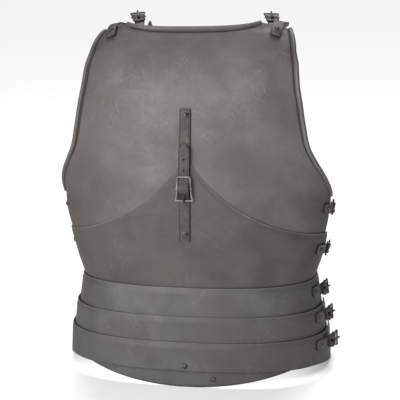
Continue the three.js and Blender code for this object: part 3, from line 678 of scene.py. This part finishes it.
def add(tree, kind, inputs=None, **settings):
    """Add a node with its settings. An input's value is a number, a colour or a socket."""
    made = tree.nodes.new(kind)
    for key, value in settings.items():
        setattr(made, key, value)
    for key, value in (inputs or {}).items():
        if isinstance(value, bpy.types.NodeSocket):
            tree.links.new(value, made.inputs[key])
        else:
            made.inputs[key].default_value = value
    return made


def new_material(name):
    made = bpy.data.materials.new(name)
    made.use_nodes = True
    made.node_tree.nodes.clear()
    return made, made.node_tree


def finish_material(tree, shader):
    add(tree, "ShaderNodeOutputMaterial", {"Surface": shader.outputs["BSDF"]})


def ramp(tree, fac, stops):
    """A colour ramp through (place, colour) stops; a colour may be one grey value."""
    made = add(tree, "ShaderNodeValToRGB", {"Fac": fac})
    elements = made.color_ramp.elements
    while len(elements) < len(stops):
        elements.new(0.5)
    for element, (place, colour) in zip(elements, stops):
        element.position = place
        grey = isinstance(colour, (int, float))
        element.color = (colour, colour, colour, 1) if grey else (*colour, 1)
    return made.outputs["Color"]


def forged_steel(name, dark, light, tint, finish):
    """Low-carbon steel, raised by hand, oiled and long kept. The skin gives cloudy grey-brown
    staining, a soft dull sheen and a few fine scratches that are brighter than the skin."""
    made, tree = new_material(name)
    spot = add(tree, "ShaderNodeTexCoord").outputs["Object"]
    patches = add(tree, "ShaderNodeTexNoise", {
        "Vector": spot, "Scale": 1 / (finish.patch * MM), "Detail": 3.5, "Roughness": 0.5, "Distortion": 0.4})
    skin = ramp(tree, patches.outputs["Fac"], [(0.3, dark), (0.7, light)])
    stains = add(tree, "ShaderNodeTexNoise", {
        "Vector": spot, "Scale": 1 / (2.3 * finish.patch * MM), "Detail": 2.0, "Roughness": 0.5})
    stained = ramp(tree, stains.outputs["Fac"], [(0.42, 0.0), (0.7, 0.8)])
    colour = blended(tree, "MIX", stained, skin, (*tint, 1))
    speckle = add(tree, "ShaderNodeTexNoise", {
        "Vector": spot, "Scale": 1 / (1.6 * MM), "Detail": 3.0, "Roughness": 0.6})
    colour = multiplied(tree, colour, ramp(tree, speckle.outputs["Fac"], [(0.3, 0.93), (0.7, 1.06)]))
    # Painted light from the per-point attribute: darker towards the plates' sides, along their bottom edges and in the
    # crease beside the rolls, brighter along their top edges.
    worn_and_painted_light = add(tree, "ShaderNodeAttribute", attribute_name="wear").outputs["Fac"]
    gain = add(tree, "ShaderNodeMapRange", {"Value": worn_and_painted_light, "From Min": -1.0, "To Min": SHADE_GAIN, "To Max": HIGHLIGHT_GAIN})
    colour = multiplied(tree, colour, gain.outputs["Result"])
    rubbed = add(tree, "ShaderNodeTexNoise", {
        "Vector": spot, "Scale": 1 / (70 * MM), "Detail": 1.0})
    where = ramp(tree, rubbed.outputs["Fac"], [(0.48, 0.0), (0.62, 1.0)])
    for turn, seed in ((28, 0.31), (-52, 0.77), (80, 0.129)):
        lay = add(tree, "ShaderNodeMapping", {
            "Vector": spot, "Rotation": (0, math.radians(turn), math.radians(turn / 3)),
            "Location": (seed, seed, seed), "Scale": (26 * MM, 26 * MM, 0.8 * MM)}, vector_type="TEXTURE")
        lines = add(tree, "ShaderNodeTexNoise", {
            "Vector": lay.outputs["Vector"], "Scale": 1.0, "Detail": 0.0})
        thin = ramp(tree, lines.outputs["Fac"], [(0.76, 0.0), (0.80, finish.scratch)])
        colour = summed(tree, colour, multiplied(tree, thin, where))
    grain = add(tree, "ShaderNodeTexNoise", {
        "Vector": spot, "Scale": 1 / (5 * MM), "Detail": 4.0, "Roughness": 0.6})
    roughness = ramp(tree, grain.outputs["Fac"], [(0.3, finish.rough - 0.05), (0.7, finish.rough + 0.06)])
    height = add(tree, "ShaderNodeBump", {
        "Height": grain.outputs["Fac"], "Strength": 0.1, "Distance": 0.4 * MM})
    shader = add(tree, "ShaderNodeBsdfPrincipled", {
        "Base Color": colour, "Metallic": finish.metal, "Roughness": roughness,
        "Normal": height.outputs["Normal"], "Specular IOR Level": 0.25,
        "Specular Tint": (0.6, 0.6, 0.6, 1.0)})
    finish_material(tree, shader)
    return made


def blended(tree, kind, factor, first, second):
    made = tree.nodes.new("ShaderNodeMix")
    made.data_type = "RGBA"
    made.blend_type = kind
    for socket, value in ((made.inputs[0], factor), (made.inputs[6], first), (made.inputs[7], second)):
        if isinstance(value, bpy.types.NodeSocket):
            tree.links.new(value, socket)
        else:
            socket.default_value = value
    return made.outputs[2]


def multiplied(tree, first, second):
    return blended(tree, "MULTIPLY", 1.0, first, second)


def summed(tree, first, second):
    return blended(tree, "ADD", 1.0, first, second)


def oiled_leather(name, dark, light, worn_and_painted_light):
    """Vegetable-tanned harness leather, oiled almost black: a fine pored grain, rubbed paler
    in patches, with a waxy sheen on what is handled."""
    made, tree = new_material(name)
    spot = add(tree, "ShaderNodeTexCoord").outputs["Object"]
    clouds = add(tree, "ShaderNodeTexNoise", {
        "Vector": spot, "Scale": 1 / (14 * MM), "Detail": 5.0, "Roughness": 0.6})
    skin = ramp(tree, clouds.outputs["Fac"], [(0.3, dark), (0.62, light), (0.78, worn_and_painted_light)])
    pores = add(tree, "ShaderNodeTexVoronoi", {"Vector": spot, "Scale": 1 / (1.1 * MM)})
    pored = ramp(tree, pores.outputs["Distance"], [(0.0, 1.05), (0.8, 0.72)])
    colour = multiplied(tree, skin, pored)
    # The per-point attribute darkens the straps' borders and, as painted shade, the leather under the buckles; it makes
    # the middle of a strap's outer face paler.
    worn_and_painted_light = add(tree, "ShaderNodeAttribute", attribute_name="wear").outputs["Fac"]
    gain = add(tree, "ShaderNodeMapRange", {"Value": worn_and_painted_light, "From Min": -1.0, "To Min": 0.2, "To Max": 1.8})
    colour = multiplied(tree, colour, gain.outputs["Result"])
    roughness = ramp(tree, clouds.outputs["Fac"], [(0.3, 0.5), (0.7, 0.66)])
    height = add(tree, "ShaderNodeBump", {
        "Height": pores.outputs["Distance"], "Strength": 0.35, "Distance": 0.25 * MM})
    shader = add(tree, "ShaderNodeBsdfPrincipled", {
        "Base Color": colour, "Roughness": roughness, "Normal": height.outputs["Normal"],
        "Specular IOR Level": 0.4})
    finish_material(tree, shader)
    return made


def studio_floor(colour):
    """Matt seamless studio paper, with the faintest tooth."""
    made, tree = new_material("seamless_paper")
    spot = add(tree, "ShaderNodeTexCoord").outputs["Object"]
    tooth = add(tree, "ShaderNodeTexNoise", {"Vector": spot, "Scale": 1 / (4 * MM), "Detail": 3.0})
    shade = ramp(tree, tooth.outputs["Fac"], [(0.3, 0.985), (0.7, 1.0)])
    shader = add(tree, "ShaderNodeBsdfPrincipled", {
        "Base Color": multiplied(tree, (*colour, 1), shade), "Roughness": 0.9,
        "Specular IOR Level": 0.1})
    finish_material(tree, shader)
    return made


# ---------------------------------------------------------------- settings


def colour_property(name, description, code):
    return bpy.props.FloatVectorProperty(
        name=name, description=description, subtype="COLOR", size=3, min=0, max=1, default=linear(code))


class ArmourSizes(bpy.types.PropertyGroup):
    roll_radius: bpy.props.FloatProperty(
        name="Roll radius", description="Radius of the rolled neck and armhole edges",
        default=ROLL_RADIUS * MM, unit="LENGTH")
    unevenness: bpy.props.FloatProperty(
        name="Unevenness", description="How far the hand-raised plates lie off their true form",
        default=0.3 * MM, unit="LENGTH")


class ArmourColours(bpy.types.PropertyGroup):
    chest_dark: colour_property("Chest, dark", "Darkest of the upper plate's cloudy skin", "545150")
    chest_light: colour_property("Chest, light", "Palest of the upper plate's cloudy skin", "636160")
    # The plackart's skin is set darker than the chest's: painted shade on the plackart, whose face turns down and away
    # from the light.
    plackart_dark: colour_property("Plackart, dark", "Darkest of the plackart's skin", "474341")
    plackart_light: colour_property("Plackart, light", "Palest of the plackart's skin", "53504e")
    lame_dark: colour_property("Lames, dark", "Darkest of the lames' skin", "515150")
    lame_light: colour_property("Lames, light", "Palest of the lames' skin", "5e5e5d")
    stain: colour_property("Stain", "Warm brown-grey staining of all plates", "524e4b")
    buckle_dark: colour_property("Buckle, dark", "Darkest of the buckles' skin", "5c5856")
    buckle_light: colour_property("Buckle, light", "Worn steel of the buckles", "8a8582")
    black_dark: colour_property("Blackened, dark", "Side and shoulder buckles' oil-blacked skin", "1f1d1c")
    black_light: colour_property("Blackened, light", "Where their blacking has rubbed thin", "3a3735")
    rivet_dark: colour_property("Rivet, dark", "Hollows of the rivets' skin", "33302e")
    rivet_light: colour_property("Rivet, light", "Rubbed domes of the rivets", "5f5b58")
    leather_dark: colour_property("Leather, dark", "Deepest of the straps' colour", "231f1c")
    leather_light: colour_property("Leather, light", "Common colour of the straps", "3f3935")
    leather_worn: colour_property("Leather, worn", "Rubbed patches of the straps", "5d5650")
    floor: colour_property("Floor", "Seamless paper under the armour", "f8f8f8")


# Sizes in millimetres of the cloudy patches, how bright the scratches are over the skin, the
# roughness, and how much of the surface is bare metal rather than oxide and old oil.
SteelFinish = namedtuple("SteelFinish", "patch scratch rough metal")
FINISHES = {
    "chest": SteelFinish(42, 0.04, 0.56, 0.55),
    "plackart": SteelFinish(36, 0.04, 0.57, 0.52),
    "lame": SteelFinish(40, 0.04, 0.56, 0.55),
    "buckle": SteelFinish(7, 0.0, 0.42, 0.85),
    "black": SteelFinish(6, 0.0, 0.5, 0.7),
    "rivet": SteelFinish(4, 0.0, 0.46, 0.8),
}


def look(kind):
    """The finish of one kind of piece, made once."""
    name = {"strap": "oiled_harness_leather"}.get(kind, f"forged_{kind}_steel")
    if name in bpy.data.materials:
        return bpy.data.materials[name]
    colours = bpy.context.scene.armour_colours
    if kind == "strap":
        return oiled_leather(name, colours.leather_dark, colours.leather_light, colours.leather_worn)
    dark, light = getattr(colours, f"{kind}_dark"), getattr(colours, f"{kind}_light")
    return forged_steel(name, dark, light, colours.stain, FINISHES[kind])


# ---------------------------------------------------------------- pieces


def roll_along(name, places, radius):
    """A rolled edge: a round wire's shape, with the turned-in lip showing as a step inside."""
    points = []
    for v, c in places:
        z, angle = upper_grid(v, c)
        point, normal, _ = on_form(body, z, angle, STEEL / 2 + ROLL_PROUD)
        points.append((point, normal))
    stations = []
    for k, (point, normal) in enumerate(points):
        tangent = (points[min(k + 1, len(points) - 1)][0] - points[max(k - 1, 0)][0]).normalized()
        across = normal.cross(tangent).normalized()
        stations.append(Station(point, across, tangent, across.cross(tangent)))
    outline = [(radius * math.cos(a), radius * math.sin(a))
               for a in (2 * math.pi * k / 20 for k in range(20))]
    return swept(name, stations, outline)


def upper_breastplate(radius, wave):
    shell = sheet_of("upper_shell", 150, 120, body, upper_grid, STEEL / 2, PLATE_EDGES["upper"], wave)
    runs = [[(mix(ROLL_FROM, 0.998, k / 90), side) for k in range(91)] for side in (-1, 1)]
    corner = UPPER["corner_at"]
    runs.append([(1, mix(-corner, corner, k / 110)) for k in range(111)])
    rolls = [roll_along(f"roll_{k}", run, radius) for k, run in enumerate(runs)]
    return joined("upper_breastplate_finished", [shell, *rolls])


def buckle_path(size, inset):
    """Middle line of a buckle's frame, as (x, y, outward x, outward y) with round corners."""
    low, high = size.to_narrow - BAR / 2, size.to_wide + BAR / 2

    def half(along):
        return mix(size.narrow, size.wide, clamp((along - low) / (high - low), 0, 1) ** FLARE_POWER) / 2
    corner = 2.0
    bottom, top = low + inset, high - inset
    right = []
    for k in range(5):
        a = math.radians(-90 + 90 * k / 4)
        right.append((half(bottom) - inset - corner + corner * math.cos(a), bottom + corner + corner * math.sin(a)))
    for k in range(1, 13):
        along = mix(bottom + corner, top - corner * 0.6, k / 13)
        right.append((half(along) - inset, along))
    for k in range(5):
        a = math.radians(90 * k / 4)
        r = corner * 0.6
        right.append((half(top) - inset - r + r * math.cos(a), top - r + r * math.sin(a)))
    return [(0, bottom), *right, (0, top), *[(-x, y) for x, y in reversed(right)]]


def buckle(name, place, size):
    """A forged frame flaring to its wide end, with the hinge bar through its sides."""
    path = buckle_path(size, FRAME_SIDE / 2)
    stations = []
    for k, (x, y) in enumerate(path):
        (ax, ay), (bx, by) = path[k - 1], path[(k + 1) % len(path)]
        tangent = Vector((bx - ax, by - ay, 0)).normalized()
        outward = Vector((tangent.y, -tangent.x, 0))
        turn = place.to_3x3()
        stations.append(Station(place @ Vector((x, y, 0)), turn @ outward, turn @ tangent, turn @ Vector((0, 0, 1))))
    ring = swept(name + "_ring", stations, rounded(FRAME_SIDE, BAR, 0.75), ring=True)
    low, high = size.to_narrow - BAR / 2, size.to_wide + BAR / 2
    reach = mix(size.narrow, size.wide, (-low / (high - low)) ** FLARE_POWER) / 2 + HINGE_ENDS
    profile = [(0, -reach), (HINGE * 0.7, -reach), (HINGE, -reach + 0.5), (HINGE, reach - 0.5),
               (HINGE * 0.7, reach), (0, reach)]
    across = place @ Matrix.Rotation(math.radians(90), 4, "Y")
    bar = turned(name + "_bar", profile, across, sides=16)
    return joined(name, [ring, bar])


def tongue(name, place, size):
    """A forged tongue: a strip closed round the hinge bar, then a pin over the wide end."""
    radius = HINGE + PLAY + 0.65
    path = []
    for k in range(19):
        a = math.radians(375 - 285 * k / 18)
        path.append((radius * math.cos(a), radius * math.sin(a)))
    tip = size.to_wide + BAR / 2 + TONGUE_PAST
    pin = [(0, radius), (4, 2.5), (8, 2.5), (size.to_wide - 1, 2.2), (size.to_wide + 1, 2.35), (tip, 2.85)]
    curve = [Vector((0, y, z)) for y, z in pin]
    path += [(p.y, p.z) for p in (catmull_rom(curve, k / 24) for k in range(1, 25))]
    turn = place.to_3x3()
    stations = []
    for k, (y, z) in enumerate(path):
        a, b = path[max(k - 1, 0)], path[min(k + 1, len(path) - 1)]
        tangent = Vector((0, b[0] - a[0], b[1] - a[1])).normalized()
        across = Vector((1, 0, 0))
        stations.append(Station(place @ Vector((0, y, z)), turn @ across, turn @ tangent, turn @ across.cross(tangent)))
    narrow = lambda t: 1 - 0.35 * smooth_step(t, 0.75, 1)
    return swept(name, stations, rounded(TONGUE_WIDTH, 1.3, 0.45), narrow)


def fold_ears(name, hinge):
    """The strap's end, cut for the tongue and folded round the hinge bar as two ears."""
    radius = HINGE + PLAY + FOLD_WALL / 2
    path = [(-9, -2.35), (-5, -2.45), (-2, -radius)]
    path += [(radius * math.cos(a), radius * math.sin(a))
             for a in (math.radians(-90 + 180 * k / 12) for k in range(13))]
    path += [(-2.0, 2.2), (-4.2, 0.9), (-6.6, -0.25), (-9.5, -0.55)]
    turn = hinge.to_3x3()
    width = (FOLD_WIDTH - SLOT_WIDTH) / 2
    ears = []
    for side in (-1, 1):
        stations = []
        for k, (y, z) in enumerate(path):
            a, b = path[max(k - 1, 0)], path[min(k + 1, len(path) - 1)]
            tangent = Vector((0, b[0] - a[0], b[1] - a[1])).normalized()
            across = Vector((1, 0, 0))
            middle = Vector((side * (SLOT_WIDTH + width) / 2, y, z))
            stations.append(Station(hinge @ middle, turn @ across, turn @ tangent, turn @ across.cross(tangent)))
        ears.append(swept(f"{name}_ear_{side}", stations, rounded(width, FOLD_WALL, 0.5)))
    return ears


def strap_end_lap(name, hinge):
    """The skived end of the fold, lying back on the strap."""
    turn = hinge.to_3x3()
    stations = []
    for k in range(9):
        y = mix(-6.9, -13.5, k / 8)
        stations.append(Station(hinge @ Vector((0, y, mix(-0.5, -1.3, k / 8))), turn @ Vector((-1, 0, 0)),
                                turn @ Vector((0, -1, 0)), turn @ Vector((0, 0, 1))))
    return swept(name, stations, rounded(FOLD_WIDTH, 1.3, 0.4), lambda t: 1 - 0.06 * t)


def buckle_guard(name, hinge):
    """Leather that runs on under an open buckle, so that its frame doesn't rub the plate."""
    turn = hinge.to_3x3()
    stations = [Station(hinge @ Vector((0, y, GUARD["z"])), turn @ Vector((1, 0, 0)), turn @ Vector((0, 1, 0)),
                        turn @ Vector((0, 0, 1))) for y in (mix(GUARD["start"], GUARD["end"], k / 12) for k in range(13))]
    # Darkened all over as painted shade under the buckle frame.
    return swept(name, stations, rounded(GUARD["width"], GUARD["thick"], 0.5),
                 lambda t: mix(0.86, 1.0, t) * (1 - 0.1 * smooth_step(t, 0.9, 1)),
                 wear=lambda _x, _y, _t: -0.55)


def chape_strap(name, stations, hinge, guard=True):
    """Strap leather that ends folded round a hinge bar."""
    last = stations[-1].point
    kept = [s for s in stations if (s.point - last).length > 6.9]
    fold = FOLD_WIDTH / STRAP_WIDTH
    run = sum((b.point - a.point).length for a, b in zip(kept, kept[1:]))

    def narrow(t):
        front = clamp(t * run / FRONT_ROUND, 0.02, 1)
        return mix(FRONT_SQUARE, 1, math.sqrt(front * (2 - front))) * mix(1, fold, smooth_step(t, 0.7, 1))
    strap = swept(name + "_run", kept, strap_outline(STRAP_WIDTH, LEATHER), narrow, wear=strap_tone(STRAP_WIDTH))
    parts = [strap, *fold_ears(name, hinge), strap_end_lap(name + "_lap", hinge)]
    if guard:
        parts.append(buckle_guard(name + "_guard", hinge))
    return joined(name, parts)


def rivet(name, station, grip, washer=False):
    """A domed rivet with its shank and its clenched tail behind, over a washer where asked."""
    head, inner = TOUCH_GAP, -grip - RIVET["tail_gap"]
    base = head + (WASHER["thick"] if washer else 0)
    profile = [(0, inner - RIVET["tail_thick"]), (RIVET["tail"] * 0.75, inner - RIVET["tail_thick"]),
               (RIVET["tail"], inner - RIVET["tail_thick"] * 0.5), (RIVET["tail"], inner),
               (RIVET["shank"], inner), (RIVET["shank"], head)]
    if washer:
        rim = WASHER["radius"]
        profile += [(rim - 0.3, head), (rim, head + 0.3), (rim - 0.1, base - 0.25), (rim - 0.5, base),
                    (RIVET["head"] + 0.15, base - 0.12)]
    profile += [(RIVET["head"] * math.cos(a) ** 0.8, base + RIVET["dome"] * math.sin(a))
                for a in (math.radians(90 * k / 8) for k in range(8))]
    profile.append((0, base + RIVET["dome"]))
    return turned(name, profile, frame_at(station))


def cut(piece, cutters):
    """Take the cutters out of a piece."""
    for cutter in cutters:
        apply(piece, "BOOLEAN", object=cutter, operation="DIFFERENCE", solver="EXACT")
        bpy.data.objects.remove(cutter)


def punch(name, place, low, high, radius):
    return turned(name, [(0, low), (radius, low), (radius, high), (0, high)], place, sides=16)


class ARMOUR_OT_plates(bpy.types.Operator):
    """Make the upper breastplate with its rolled edges, and the plackart over it"""
    bl_idname = "armour.plates"
    bl_label = "Breastplate and plackart"

    def execute(self, context):
        sizes = context.scene.armour_sizes
        wave = sizes.unevenness / MM
        upper = upper_breastplate(sizes.roll_radius / MM, wave)
        dress(upper, "upper_breastplate", look("chest"))
        plackart = sheet_of("plackart_finished", 140, 64, body, plackart_grid, PLACKART_IN + STEEL / 2,
                            PLATE_EDGES["plackart"], wave)
        dress(plackart, "plackart", look("plackart"))
        return {"FINISHED"}


class ARMOUR_OT_lames(bpy.types.Operator):
    """Make the four lames of the fauld"""
    bl_idname = "armour.lames"
    bl_label = "Fauld lames"

    def execute(self, context):
        wave, steel = context.scene.armour_sizes.unevenness / MM, look("lame")
        for lame in LAMES:
            form = band(lame)
            piece = sheet_of(lame.name + "_finished", 140, 24, form, lame_grid(lame, form), STEEL / 2,
                             PLATE_EDGES["lame"], wave)
            dress(piece, lame.name, steel)
        piece = sheet_of("fauld_lame_4_finished", 110, 24, lame_4_form, lame_4_grid, STEEL / 2,
                         PLATE_EDGES["last_lame"], wave / 2)
        dress(piece, "fauld_lame_4", steel)
        return {"FINISHED"}


class ARMOUR_OT_straps(bpy.types.Operator):
    """Make every leather strap, the leather behind the lames and the neck tab"""
    bl_idname = "armour.straps"
    bl_label = "Leather straps"

    def execute(self, context):
        leather = look("strap")

        def hand_over(piece, node):
            dress(piece, node, leather, smooth=40)
        for chape in SIDE_CHAPES:
            stations = side_chape(chape)[0]
            name = f"side_{chape.name}_strap"
            hand_over(chape_strap(name + "_finished", stations, hinge_frame(stations)), name)
        for name, (side, line) in SHOULDERS.items():
            stations = shoulder_strap(side, line)[0]
            hand_over(chape_strap(f"{name}_strap_finished", stations, hinge_frame(stations)), f"{name}_strap")
        stations, hinge, _ = centre_upper()
        hand_over(chape_strap("centre_upper_strap_finished", stations, hinge, guard=False), "centre_upper_strap")
        hand_over(self.threaded_billet(hinge), "centre_lower_strap")
        for strap in RIGHT_STRAPS:
            name = f"right_{strap.name}_strap"
            hand_over(swept(name + "_finished", right_strap(strap), rounded(STRAP_WIDTH, LEATHER, 0.7)), name)
        knots = [(Vector((0, y, z)), Vector((1, 0, 0))) for z, y in FAULD_LEATHER]
        hand_over(swept("fauld_leather_finished", stations_along(knots, 50),
                        rounded(STRAP_WIDTH, LEATHER, 0.7)), "fauld_leather")
        turn = math.radians(-NECK_TAB["turn"])
        across = Vector((math.cos(turn), math.sin(turn), 0))
        knots = [(Vector((NECK_TAB["x"], NECK_TAB["y"], z)), across) for z in (NECK_TAB["foot"], NECK_TAB["tip"])]
        share = NECK_TAB["tip_width"] / NECK_TAB["width"]
        hand_over(swept("neck_tab_finished", stations_along(knots, 24), rounded(NECK_TAB["width"], LEATHER, 0.7),
                        lambda t: mix(1, share, smooth_step(t, 0.45, 1.05))), "neck_tab")
        return {"FINISHED"}

    def threaded_billet(self, hinge):
        """The free half of the middle strap, with its tip, its holes and the one in use."""
        stations = billet()[0]
        tip = BILLET_TIP / BILLET_WIDTH
        piece = swept("centre_lower_strap_finished", stations, strap_outline(BILLET_WIDTH, BILLET_THICK),
                      lambda t: mix(1, tip, smooth_step(t, 0.93, 1.0)), wear=strap_tone(BILLET_WIDTH))
        cutters = []
        for k, z in enumerate(BILLET_HOLES):
            nearest = min(stations[len(stations) // 2:], key=lambda s: abs(s.point.z - z))
            cutters.append(punch(f"hole_{k}", frame_at(nearest), -3, 3, HOLE_RADIUS))
        low, high = PIERCED["low"] - CENTRE_RISE, PIERCED["high"] - CENTRE_RISE
        start, end, half = PIERCED["start"], PIERCED["end"], PIERCED["width"] / 2
        slot = [(-half, start), (half, start), (half, end), (-half, end)]

        def corner(i, j):
            x, y = slot[i % 4]
            return hinge @ Vector((x, y, mix(low, high, j)))
        cutters.append(formed("slot", 4, 1, corner, tube=True))
        cut(piece, cutters)
        return piece


class ARMOUR_OT_buckles(bpy.types.Operator):
    """Make the eight buckle frames and their tongues"""
    bl_idname = "armour.buckles"
    bl_label = "Buckles and tongues"

    def execute(self, context):
        hinges = {f"side_{chape.name}": hinge_frame(side_chape(chape)[0]) for chape in SIDE_CHAPES}
        hinges.update({name: hinge_frame(shoulder_strap(*where)[0]) for name, where in SHOULDERS.items()})
        hinges["centre"] = centre_upper()[1]
        moving = set(frame["bodies"])
        for name, hinge in hinges.items():
            size = CENTRE_BUCKLE if name == "centre" else SIDE_BUCKLE
            place = tilted(hinge, size)
            steel = look("buckle" if name == "centre" else "black")
            dress(buckle(f"{name}_buckle_finished", place, size), f"{name}_buckle", steel)
            body_name = f"{name}_tongue" if f"{name}_tongue" in moving else "root"
            dress(tongue(f"{name}_tongue_finished", place, size), f"{name}_tongue", look("black"),
                  body_name)
        return {"FINISHED"}


class ARMOUR_OT_rivets(bpy.types.Operator):
    """Make every rivet, with those of the straps inside the wearer's right side"""
    bl_idname = "armour.rivets"
    bl_label = "Rivets"

    def execute(self, context):
        steel = look("rivet")

        def hand_over(name, station, grip, washer=False, node=True):
            piece = rivet(name + "_finished", station, grip, washer)
            dress(piece, name if node else None, steel, smooth=50)
        for chape in SIDE_CHAPES:
            _, station, grip = side_chape(chape)
            hand_over(f"side_{chape.name}_rivet", station, grip)
        for name, (side, line) in SHOULDERS.items():
            _, station, grip = shoulder_strap(side, line)
            hand_over(f"{name}_rivet", station, grip)
        hand_over("centre_upper_rivet", centre_upper()[2], LEATHER + TOUCH_GAP + STEEL, True)
        both = TOUCH_GAP + 2 * STEEL + PLATE_GAP
        hand_over("centre_lower_rivet", billet()[1], BILLET_THICK + both, True)
        third = on_plate("fauld_lame_3", LAME_RIVETS["third_z"], 0)
        grip = -third.point.y + FAULD_LEATHER[-1][1] + LEATHER / 2
        hand_over("fauld_rivet_middle", third, grip)
        angle = math.asin(LAME_RIVETS["fourth_x"] / LAME_4_WIDTH)
        hand_over("fauld_rivet_low", on_plate("fauld_lame_4", LAME_RIVETS["fourth_z"], angle), STEEL)
        for strap in RIGHT_STRAPS:
            form = plate_form(strap.plate)[0]
            angle = -angle_at_y(form, strap.z, strap.edge_y - RIGHT_RIVET_BACK)
            plate = "plackart" if strap.name == "waist" else strap.plate
            hand_over(f"right_{strap.name}_rivet", on_plate(plate, strap.z, angle),
                      plate_form(plate)[1] + FACET_GAP + LEATHER, node=False)
        return {"FINISHED"}


class ARMOUR_OT_stage(bpy.types.Operator):
    """Lay the floor, set the lights and the world, and place the camera"""
    bl_idname = "armour.stage"
    bl_label = "Stage"

    def execute(self, context):
        scene = context.scene
        bpy.ops.object.select_all(action="DESELECT")
        bpy.ops.mesh.primitive_plane_add(size=60, location=(0, 0, 0))
        floor = context.object
        floor.name = "paper_floor"
        floor.data.materials.append(studio_floor(scene.armour_colours.floor))
        self.light("key_window", (-1.0, -2.1, 1.15), (0, 0, 0.28), 2.0, 66)
        self.light("high_front_window", (0.1, -1.3, 2.2), (0, 0, 0.35), 1.4, 20)
        bpy.ops.object.light_add(type="SUN", rotation=(math.radians(-32), 0, 0))
        context.object.name = "high_back_light"
        context.object.data.energy = 3.0
        context.object.data.angle = math.radians(35)
        self.world(scene)
        scene.view_settings.view_transform = "Standard"
        self.camera(scene)
        return {"FINISHED"}

    def world(self, scene):
        """A dim room, which the eye sees as the same white paper as the floor."""
        world = bpy.data.worlds.new("studio")
        scene.world = world
        world.use_nodes = True
        tree = world.node_tree
        seen = add(tree, "ShaderNodeLightPath").outputs["Is Camera Ray"]
        strength = add(tree, "ShaderNodeMapRange", {"Value": seen, "To Min": ROOM_LIGHT, "To Max": 1.0})
        background = tree.nodes["Background"]
        background.inputs["Color"].default_value = (1, 1, 1, 1)
        tree.links.new(strength.outputs["Result"], background.inputs["Strength"])

    def light(self, name, place, target, size, power):
        bpy.ops.object.light_add(type="AREA", location=place)
        lamp = bpy.context.object
        lamp.name = name
        lamp.data.shape = "DISK"
        lamp.data.size = size
        lamp.data.energy = power
        lamp.rotation_euler = (Vector(target) - Vector(place)).to_track_quat("-Z", "Y").to_euler()

    def camera(self, scene):
        """Camera by its aim, turn, height angle, roll, distance and lens, in the upright frame."""
        turn, lift, roll = math.radians(10.2), math.radians(9.0), math.radians(-0.3)
        aim, distance = Vector((0, 0, 256)), 1450
        back = Vector((math.sin(turn) * math.cos(lift), -math.cos(turn) * math.cos(lift), math.sin(lift)))
        right = Vector((math.cos(turn), math.sin(turn), 0))
        up = Vector((-math.sin(turn) * math.sin(lift), math.cos(turn) * math.sin(lift), math.cos(lift)))
        rolled_right = right * math.cos(roll) + up * math.sin(roll)
        rolled_up = up * math.cos(roll) - right * math.sin(roll)
        bpy.ops.object.camera_add()
        camera = bpy.context.object
        camera.name = "viewpoint"
        lean = Matrix.Rotation(LEAN, 3, "X")
        axes = Matrix((lean @ rolled_right, lean @ rolled_up, lean @ back)).transposed().to_4x4()
        axes.translation = TO_WORLD @ (aim + back * distance)
        camera.matrix_world = axes
        camera.data.sensor_width = 36
        camera.data.lens = 36 * 967 / 400
        camera.data.clip_end = 200
        scene.camera = camera


class ARMOUR_PT_panel(bpy.types.Panel):
    """Lists the steps that dress the breastplate"""
    bl_idname = "ARMOUR_PT_panel"
    bl_label = "Steel breastplate"
    bl_space_type = "VIEW_3D"
    bl_region_type = "UI"
    bl_category = "Armour"

    def draw(self, context):
        for group in (context.scene.armour_sizes, context.scene.armour_colours):
            for name in group.__annotations__:
                self.layout.prop(group, name)
        for step in STEPS:
            self.layout.operator(step.bl_idname)


STEPS = (ARMOUR_OT_plates, ARMOUR_OT_lames, ARMOUR_OT_straps, ARMOUR_OT_buckles,
         ARMOUR_OT_rivets, ARMOUR_OT_stage)
CLASSES = (ArmourSizes, ArmourColours, *STEPS, ARMOUR_PT_panel)


def register():
    for item in CLASSES:
        bpy.utils.register_class(item)
    bpy.types.Scene.armour_sizes = bpy.props.PointerProperty(type=ArmourSizes)
    bpy.types.Scene.armour_colours = bpy.props.PointerProperty(type=ArmourColours)


def unregister():
    del bpy.types.Scene.armour_colours
    del bpy.types.Scene.armour_sizes
    for item in reversed(CLASSES):
        bpy.utils.unregister_class(item)


def main():
    register()
    bpy.ops.armour.plates()
    bpy.ops.armour.lames()
    bpy.ops.armour.straps()
    bpy.ops.armour.buckles()
    bpy.ops.armour.rivets()
    bpy.ops.armour.stage()


if __name__ == "__main__":
    main()
